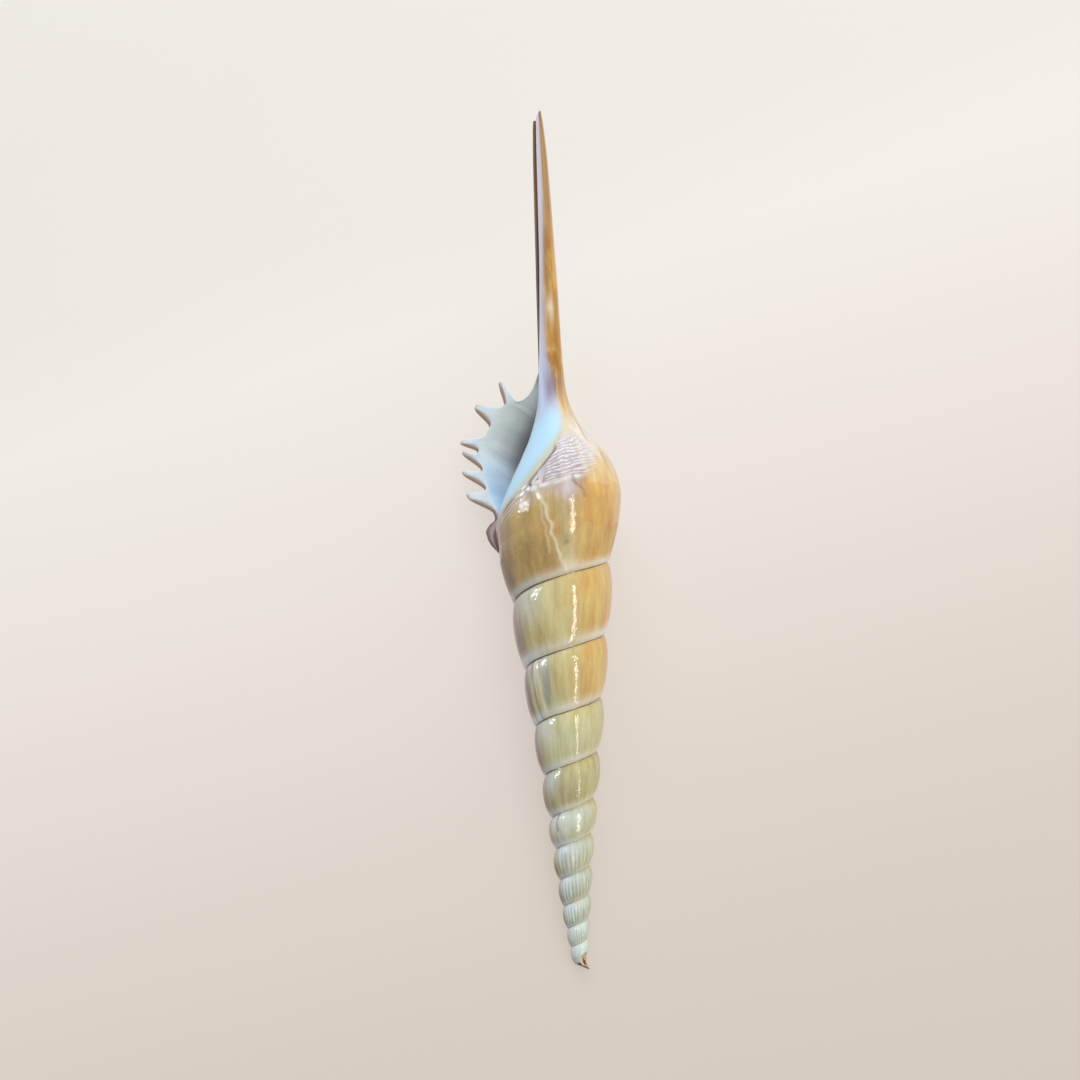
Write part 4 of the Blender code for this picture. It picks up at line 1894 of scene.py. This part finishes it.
@dataclass
class Shell:
    """The whole shell as one fine piece."""

    form: Form
    pattern: Pattern
    fineness: Fineness = field(default_factory=Fineness)
    breakage: Breakage = field(default_factory=Breakage)
    finishes: tuple[Glaze, ...] = (
        Glaze(), Glaze(name="inner_glaze", roughness=0.36, coat=0.25, coat_roughness=0.3))
    down: Point = (0.0133, -0.1344, -0.9908)
    dull_glaze: float = 0.5
    dull_rim: float = 0.3
    dull_foot: float = 0.75
    dull_edge: Waver = Waver(20.0, 0.0, 77.0, 0.16)
    name: str = "shell_skin"

    def sheet(self, mesh: bmesh.types.BMesh, columns: Sequence[float],
              rows: Sequence[float], surface: Surface,
              chart: Callable[[float, float], tuple[float, float, float, float]],
              settle: Callable[[float, float], float] = lambda column, row: row) -> None:
        """Add a sheet of faces.

        Args:
            mesh: mesh to add to.
            columns: first parameter of every column.
            rows: second parameter of every row.
            surface: place of a column and a row.
            chart: turn, across, glaze and inside at a column and a row.
            settle: row that a row follows at a column.
        """
        made = bmesh.ops.create_grid(mesh, x_segments=len(columns) - 1,
                                     y_segments=len(rows) - 1, size=0.5)
        growth = mesh.loops.layers.uv["growth"]
        zones = mesh.loops.layers.uv["zones"]
        relief = mesh.verts.layers.float["relief"]
        seam = mesh.verts.layers.float["seam"]
        paint = mesh.verts.layers.float_color["paint"]
        pattern = self.pattern
        for vert in made["verts"]:
            column = columns[round((vert.co.x + 0.5) * (len(columns) - 1))]
            row = settle(column, rows[round((vert.co.y + 0.5) * (len(rows) - 1))])
            turn, across, glaze, inside = chart(column, row)
            vert.co = surface(column, row)
            vert[relief] = pattern.relief(turn, row, glaze, inside)
            vert[seam] = pattern.seam(turn, row) if inside <= 0.0 else SEAMLESS
            vert[paint] = (*pattern.colour(turn, row, glaze, inside), 1.0)
            for loop in vert.link_loops:
                loop[growth].uv = (turn, across)
                loop[zones].uv = (glaze, inside)

    def rows(self) -> list[float]:
        """Rows of the last whorl, closer together at the spines.

        Returns:
            The places of the rows, in order.
        """
        fine, whorl = self.fineness, self.form.whorl
        rows = self.whorl_rows()
        for start, end, count in fine.rows_per_station:
            steps = round((end - start) * count)
            rows += [start + (end - start) * step / steps for step in range(1, steps + 1)]
        for centre, half, _ in self.form.lip.spines:
            reach = fine.spine_reach * half
            near = [row for row in rows if abs(row - centre) <= reach]
            steps = round(2.0 * reach / fine.spine_row_gap)
            if len(near) < steps and centre + reach < whorl.root:
                rows = [row for row in rows if row not in near or row == whorl.corner]
                rows += [centre - reach + 2.0 * reach * step / steps
                         for step in range(steps + 1)]
        return sorted(rows)

    def columns(self) -> list[float]:
        """Shares of a turn where the columns lie, closer together on the front half."""
        front, back = self.fineness.front_steps, self.fineness.back_steps
        return ([0.5 * step / front for step in range(front)]
                + [0.5 + 0.5 * step / back for step in range(back + 1)])

    def whorl_rows(self) -> list[float]:
        """Rows across a whorl, closer together at the sutures."""
        count = self.fineness.whorl_rows
        return [self.form.whorl.corner * (0.5 - 0.5 * math.cos(math.pi * step / count))
                for step in range(count + 1)]

    def settled(self, share: float, place: float) -> float:
        """Place of a row of the last whorl, which starts from a row of the spire.

        Args:
            share: 0 where the aperture starts, 1 at the outer lip.
            place: where the row ends.

        Returns:
            The row's place at that share.
        """
        if place >= self.form.whorl.corner:
            return place
        start = min(self.whorl_rows(), key=lambda row: abs(row - place))
        return start + (place - start) * smooth_step(share / self.fineness.settling)

    def build(self) -> bmesh.types.BMesh:
        """Grow every sheet of the shell and close it.

        Returns:
            The mesh, in the growth frame.
        """
        mesh = bmesh.new()
        mesh.loops.layers.uv.new("growth")
        mesh.loops.layers.uv.new("zones")
        mesh.verts.layers.float.new("relief")
        mesh.verts.layers.float.new("seam")
        mesh.verts.layers.float_color.new("paint")
        self.grow_spire(mesh)
        self.grow_last_whorl(mesh)
        fine = self.fineness
        bmesh.ops.remove_doubles(mesh, verts=mesh.verts, dist=fine.merge)
        bmesh.ops.dissolve_degenerate(mesh, edges=mesh.edges, dist=fine.shortest_edge)
        self.close_ends(mesh)
        self.share_finishes(mesh)
        bmesh.ops.recalc_face_normals(mesh, faces=mesh.faces)
        mesh.normal_update()
        relief = mesh.verts.layers.float["relief"]
        for vert in mesh.verts:
            vert.co += vert.normal * vert[relief]
        return mesh

    def grow_spire(self, mesh: bmesh.types.BMesh) -> None:
        """Add the whorls of the spire.

        Args:
            mesh: mesh to add to.
        """
        spire, corner = self.form.spire, self.form.whorl.corner
        whole = math.ceil(spire.break_turn - spire.first_turn)
        turns = [spire.break_turn - back + share for back in range(whole, 0, -1)
                 for share in self.columns()[:-1]] + [spire.break_turn]
        turns = [turn for turn in turns if turn >= spire.first_turn]
        self.sheet(mesh, turns, self.whorl_rows(), self.form.grown,
                   lambda turn, place: (turn, place / corner, 0.0, 0.0))

    def grow_last_whorl(self, mesh: bmesh.types.BMesh) -> None:
        """Add the last whorl, the lip's rim and the cavity's wall.

        Args:
            mesh: mesh to add to.
        """
        form, fine, corner = self.form, self.fineness, self.form.whorl.corner
        cover = self.pattern.inner_lip.cover
        rows = self.rows()
        self.sheet(mesh, self.columns(), rows, form.body_point,
                   lambda share, place: (form.body_turn(share, place), place / corner,
                                         cover(form.body_turn(share, place), place), 0.0),
                   self.settled)
        rim = [step / fine.rim_steps for step in range(fine.rim_steps + 1)]
        self.sheet(mesh, rim, rows, form.rim_point,
                   lambda share, place: (form.lip_edge(place)[1], place / corner,
                                         share, share))
        deep = [step / fine.cavity_steps for step in range(fine.cavity_steps + 1)]
        self.sheet(mesh, deep, rows, form.pocket_point,
                   lambda share, place: (share, place / corner, 1.0, 1.0 + share))

    def share_finishes(self, mesh: bmesh.types.BMesh) -> None:
        """Give the duller finish to the glazed lip, the inside and the last whorl's foot.

        Args:
            mesh: mesh of the whole shell.
        """
        growth, zones = (mesh.loops.layers.uv[name] for name in ("growth", "zones"))
        for face in mesh.faces:
            turn, share = face.loops[0][growth].uv
            glaze, inside = face.loops[0][zones].uv
            foot_end = self.dull_foot + self.dull_edge.at(turn)
            foot = turn > self.form.spire.break_turn and share < foot_end and inside == 0.0
            dull = glaze > self.dull_glaze or inside > self.dull_rim or foot
            face.material_index = (Finish.DULL if dull else Finish.GLOSSY).value

    def close_ends(self, mesh: bmesh.types.BMesh) -> None:
        """Close the apex, break a piece off it, and close the end of the canal.

        Args:
            mesh: mesh of the whole shell.
        """
        rim = [edge for edge in mesh.edges if edge.is_boundary]
        apex = [edge for edge in rim if edge.verts[0].co.y < 0.5 * self.form.spire.lost_tip]
        canal = [edge for edge in rim if edge.verts[0].co.y > self.form.whorl.canal[0][0]]
        bmesh.ops.triangle_fill(mesh, use_beauty=True, use_dissolve=False, edges=canal)
        bmesh.ops.triangle_fill(mesh, use_beauty=True, use_dissolve=False, edges=apex)
        bmesh.ops.bisect_plane(mesh, geom=mesh.verts[:] + mesh.edges[:] + mesh.faces[:],
                               plane_co=self.breakage.place, plane_no=self.breakage.facing,
                               clear_outer=True)
        rim = [edge for edge in mesh.edges if edge.is_boundary]
        swing = Vector(self.breakage.facing).rotation_difference(Vector(self.breakage.mouth))
        paint = mesh.verts.layers.float_color["paint"]
        for ring in self.breakage.rings:
            made = bmesh.ops.extrude_edge_only(mesh, edges=rim)["geom"]
            verts = [item for item in made if isinstance(item, bmesh.types.BMVert)]
            centre = sum((vert.co for vert in verts), Vector()) / len(verts)
            lean = Quaternion(swing.axis, swing.angle * ring.swing)
            for vert in verts:
                vert.co = centre + (lean @ (vert.co - centre)) * ring.size + Vector(ring.step)
                vert[paint] = (*ring.colour, 1.0)
            rim = [item for item in made if isinstance(item, bmesh.types.BMEdge)
                   and item.is_boundary]
        bmesh.ops.edgenet_fill(mesh, edges=rim)

    def lay_down(self, mesh: bmesh.types.BMesh) -> None:
        """Turn the shell as it lies, and put it in the frame's box, in metres.

        Args:
            mesh: mesh of the whole shell.
        """
        low, high = (Vector(corner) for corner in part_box("shell"))
        turn = Vector(self.down).rotation_difference(Vector((0.0, 0.0, -1.0))).to_matrix()
        axis = turn @ Vector((0.0, 1.0, 0.0))
        swing = Matrix.Rotation(math.atan2(axis.x, axis.y), 3, "Z")
        bmesh.ops.transform(mesh, matrix=(swing @ turn).to_4x4(), verts=mesh.verts)
        bmesh.ops.scale(mesh, vec=(MM, MM, MM), verts=mesh.verts)
        ends = [[pick(vert.co[side] for vert in mesh.verts) for side in range(3)]
                for pick in (min, max)]
        middle = (Vector(ends[0]) + Vector(ends[1])) / 2.0
        centre = (low + high) / 2.0
        step = (centre.x - middle.x, centre.y - middle.y, low.z - ends[0][2])
        bmesh.ops.translate(mesh, vec=step, verts=mesh.verts)

    def make(self) -> bpy.types.Object:
        """Build the piece, dress it and set it in place of the plain solid.

        Returns:
            The finished object.
        """
        mesh = self.build()
        self.lay_down(mesh)
        data = bpy.data.meshes.new(self.name)
        mesh.to_mesh(data)
        mesh.free()
        data.shade_smooth()
        piece = bpy.data.objects.new(self.name, data)
        bpy.context.scene.collection.objects.link(piece)
        for finish in Finish:
            data.materials.append(self.finishes[finish.value].material())
        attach(piece, "root")
        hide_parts("shell")
        LOG.info("%s: %d faces", self.name, len(data.polygons))
        return piece


class Use(Enum):
    """What a lamp is for."""

    GLINT = "it shows in the gloss only"
    LIGHT = "it lights the surface and shows in no gloss"


@dataclass(frozen=True)
class Lamp:
    """A soft rectangular light that faces the shell, in metres and watts.

    Its size is its width and length, and its heading the direction of its length.
    """

    name: str
    place: Point
    size: tuple[float, float]
    power: float
    colour: Point
    use: Use
    heading: Point = (0.0, 1.0, 0.0)

    def hang(self, target: Vector) -> None:
        """Add the lamp to the scene.

        Args:
            target: the point that it faces.
        """
        data = bpy.data.lights.new(self.name, "AREA")
        data.shape = "RECTANGLE"
        data.size, data.size_y = self.size
        data.energy = self.power
        data.color = self.colour
        lamp = bpy.data.objects.new(self.name, data)
        back = (Vector(self.place) - target).normalized()
        side = Vector(self.heading).cross(back).normalized()
        turn = Matrix((side, back.cross(side), back)).transposed().to_4x4()
        lamp.matrix_world = Matrix.Translation(Vector(self.place)) @ turn
        lamp.visible_glossy = self.use is Use.GLINT
        lamp.visible_diffuse = self.use is Use.LIGHT
        bpy.context.scene.collection.objects.link(lamp)


@dataclass(frozen=True)
class Window:
    """A far window of small panes, which shows in the gloss."""

    middle: Point = (-0.68, 0.26, 0.34)
    side: Point = (0.36, 0.93, 0.0)
    columns: int = 2
    rows: int = 3
    column_gap: float = 0.15
    row_gap: float = 0.11
    pane: tuple[float, float] = (0.055, 0.028)
    power: float = 0.36
    colour: Point = (0.74, 0.88, 1.0)

    def panes(self) -> list[Lamp]:
        """Set out the panes.

        Returns:
            A lamp for every pane.
        """
        panes = []
        for number in range(self.columns * self.rows):
            row, column = divmod(number, self.columns)
            across = self.column_gap * (column - 0.5 * (self.columns - 1))
            up = self.row_gap * (row - 0.5 * (self.rows - 1))
            place = Vector(self.middle) + Vector(self.side) * across + Vector((0.0, 0.0, up))
            panes.append(Lamp(f"window_{number}", tuple(place), self.pane, self.power,
                              self.colour, Use.GLINT, heading=(0.0, 0.0, 1.0)))
        return panes


@dataclass(frozen=True)
class Floor:
    """The plain pale floor, whose soft glow of painted light changes a little from end to end and
    softens the shell's shadow.

    A stop of the glow has a share of the way across and a colour.
    """

    size: float = 3.0
    paint: Point = (0.22, 0.212, 0.2035, 1.0)
    roughness: float = 0.9
    specular: float = 0.1
    direction: Point = (-0.3, 1.0, 0.0)
    reach: float = 0.17
    glow: tuple[tuple[float, Point], ...] = (
        (0.0, (0.455, 0.392, 0.336)), (0.18, (0.487, 0.426, 0.370)),
        (0.31, (0.529, 0.473, 0.422)), (0.44, (0.593, 0.533, 0.484)),
        (0.5, (0.615, 0.560, 0.520)), (0.71, (0.658, 0.640, 0.595)),
        (0.82, (0.630, 0.609, 0.565)), (1.0, (0.620, 0.600, 0.555)))

    def material(self) -> bpy.types.Material:
        """Make the floor's paint.

        Returns:
            The material.
        """
        material = bpy.data.materials.new("floor_paint")
        material.use_nodes = True
        tree = material.node_tree
        shader = tree.nodes["Principled BSDF"]
        shader.inputs["Roughness"].default_value = self.roughness
        shader.inputs["Specular IOR Level"].default_value = self.specular
        shader.inputs["Base Color"].default_value = self.paint
        # Painted light: the floor glows by itself, more at one end than the other.
        shader.inputs["Emission Strength"].default_value = 1.0
        place = tree.nodes.new("ShaderNodeTexCoord")
        slant = tree.nodes.new("ShaderNodeVectorMath")
        slant.operation = "DOT_PRODUCT"
        slant.inputs[1].default_value = self.direction
        fade = tree.nodes.new("ShaderNodeMapRange")
        fade.inputs["From Min"].default_value = -self.reach
        fade.inputs["From Max"].default_value = self.reach
        ramp = tree.nodes.new("ShaderNodeValToRGB")
        for position, _ in self.glow[1:-1]:
            ramp.color_ramp.elements.new(position)
        for stop, (position, colour) in zip(ramp.color_ramp.elements, self.glow):
            stop.position, stop.color = position, (*colour, 1.0)
        tree.links.new(place.outputs["Object"], slant.inputs[0])
        tree.links.new(slant.outputs["Value"], fade.inputs["Value"])
        tree.links.new(fade.outputs["Result"], ramp.inputs["Fac"])
        tree.links.new(ramp.outputs["Color"], shader.inputs["Emission Color"])
        return material

    def lay(self) -> None:
        """Add the floor to the scene."""
        mesh = bmesh.new()
        bmesh.ops.create_grid(mesh, x_segments=1, y_segments=1, size=self.size / 2.0)
        data = bpy.data.meshes.new("floor")
        mesh.to_mesh(data)
        mesh.free()
        data.materials.append(self.material())
        floor = bpy.data.objects.new("floor", data)
        bpy.context.scene.collection.objects.link(floor)


@dataclass(frozen=True)
class View:
    """The camera above the shell: angles in degrees, lengths in metres, lens in mm."""

    distance: float = 0.2843
    azimuth: float = 5.06
    elevation: float = 72.6
    roll: float = -8.16
    lens: float = 38.57
    sensor: float = 36.0

    def set_up(self, target: Vector) -> None:
        """Add the camera to the scene.

        Args:
            target: the point that it looks at.
        """
        data = bpy.data.cameras.new("camera")
        data.lens = self.lens
        data.sensor_width = self.sensor
        turn, lift = math.radians(self.azimuth), math.radians(self.elevation)
        back = Vector((math.sin(turn) * math.cos(lift), -math.cos(turn) * math.cos(lift),
                       math.sin(lift)))
        side = Vector((0.0, 0.0, 1.0)).cross(back).normalized()
        facing = Matrix((side, back.cross(side), back)).transposed()
        facing = facing @ Matrix.Rotation(math.radians(self.roll), 3, "Z")
        camera = bpy.data.objects.new("camera", data)
        camera.matrix_world = (Matrix.Translation(target + back * self.distance)
                               @ facing.to_4x4())
        bpy.context.scene.collection.objects.link(camera)
        bpy.context.scene.camera = camera


@dataclass(frozen=True)
class Studio:
    """Floor, lamps, room light and camera."""

    target: Point = (-0.0005, -0.0062, 0.015)
    room_colour: Point = (1.0, 0.95, 0.92, 1.0)
    room_strength: float = 0.34
    lamps: tuple[Lamp, ...] = (
        Lamp("strip", (0.33, -0.24, 0.50), (0.03, 0.76), 1.5, (1.0, 0.95, 0.84), Use.GLINT,
             heading=(0.33, -0.94, 0.0)),
        Lamp("sky", (-0.05, 0.72, 0.52), (0.6, 0.5), 4.8, (0.84, 0.92, 1.0), Use.LIGHT,
             heading=(0.0, 0.0, 1.0)),
        Lamp("key", (0.28, 0.08, 0.88), (0.8, 0.8), 3.3, (1.0, 0.96, 0.90), Use.LIGHT),
        Lamp("warm", (0.62, -0.05, 0.42), (0.4, 0.4), 1.0, (1.0, 0.90, 0.76), Use.LIGHT))

    def light_room(self) -> None:
        """Set the even light of the room."""
        world = bpy.data.worlds.new("room")
        world.use_nodes = True
        background = world.node_tree.nodes["Background"]
        background.inputs["Color"].default_value = self.room_colour
        background.inputs["Strength"].default_value = self.room_strength
        bpy.context.scene.world = world

    def build(self) -> None:
        """Set up everything that isn't part of the shell."""
        Floor().lay()
        self.light_room()
        for lamp in (*self.lamps, *Window().panes()):
            lamp.hang(Vector(self.target))
        View().set_up(Vector(self.target))
        bpy.context.scene.view_settings.view_transform = "Standard"
        LOG.info("studio: floor, %d lamps and camera", len(bpy.data.lights))


def main() -> None:
    """Build the studio and the shell."""
    logging.basicConfig(level=logging.INFO, format="%(name)s: %(message)s")
    Studio().build()
    form = Form(Spire(), LastWhorl(), OuterLip())
    Shell(form, Pattern(form, Colours())).make()


if __name__ == "__main__":
    main()
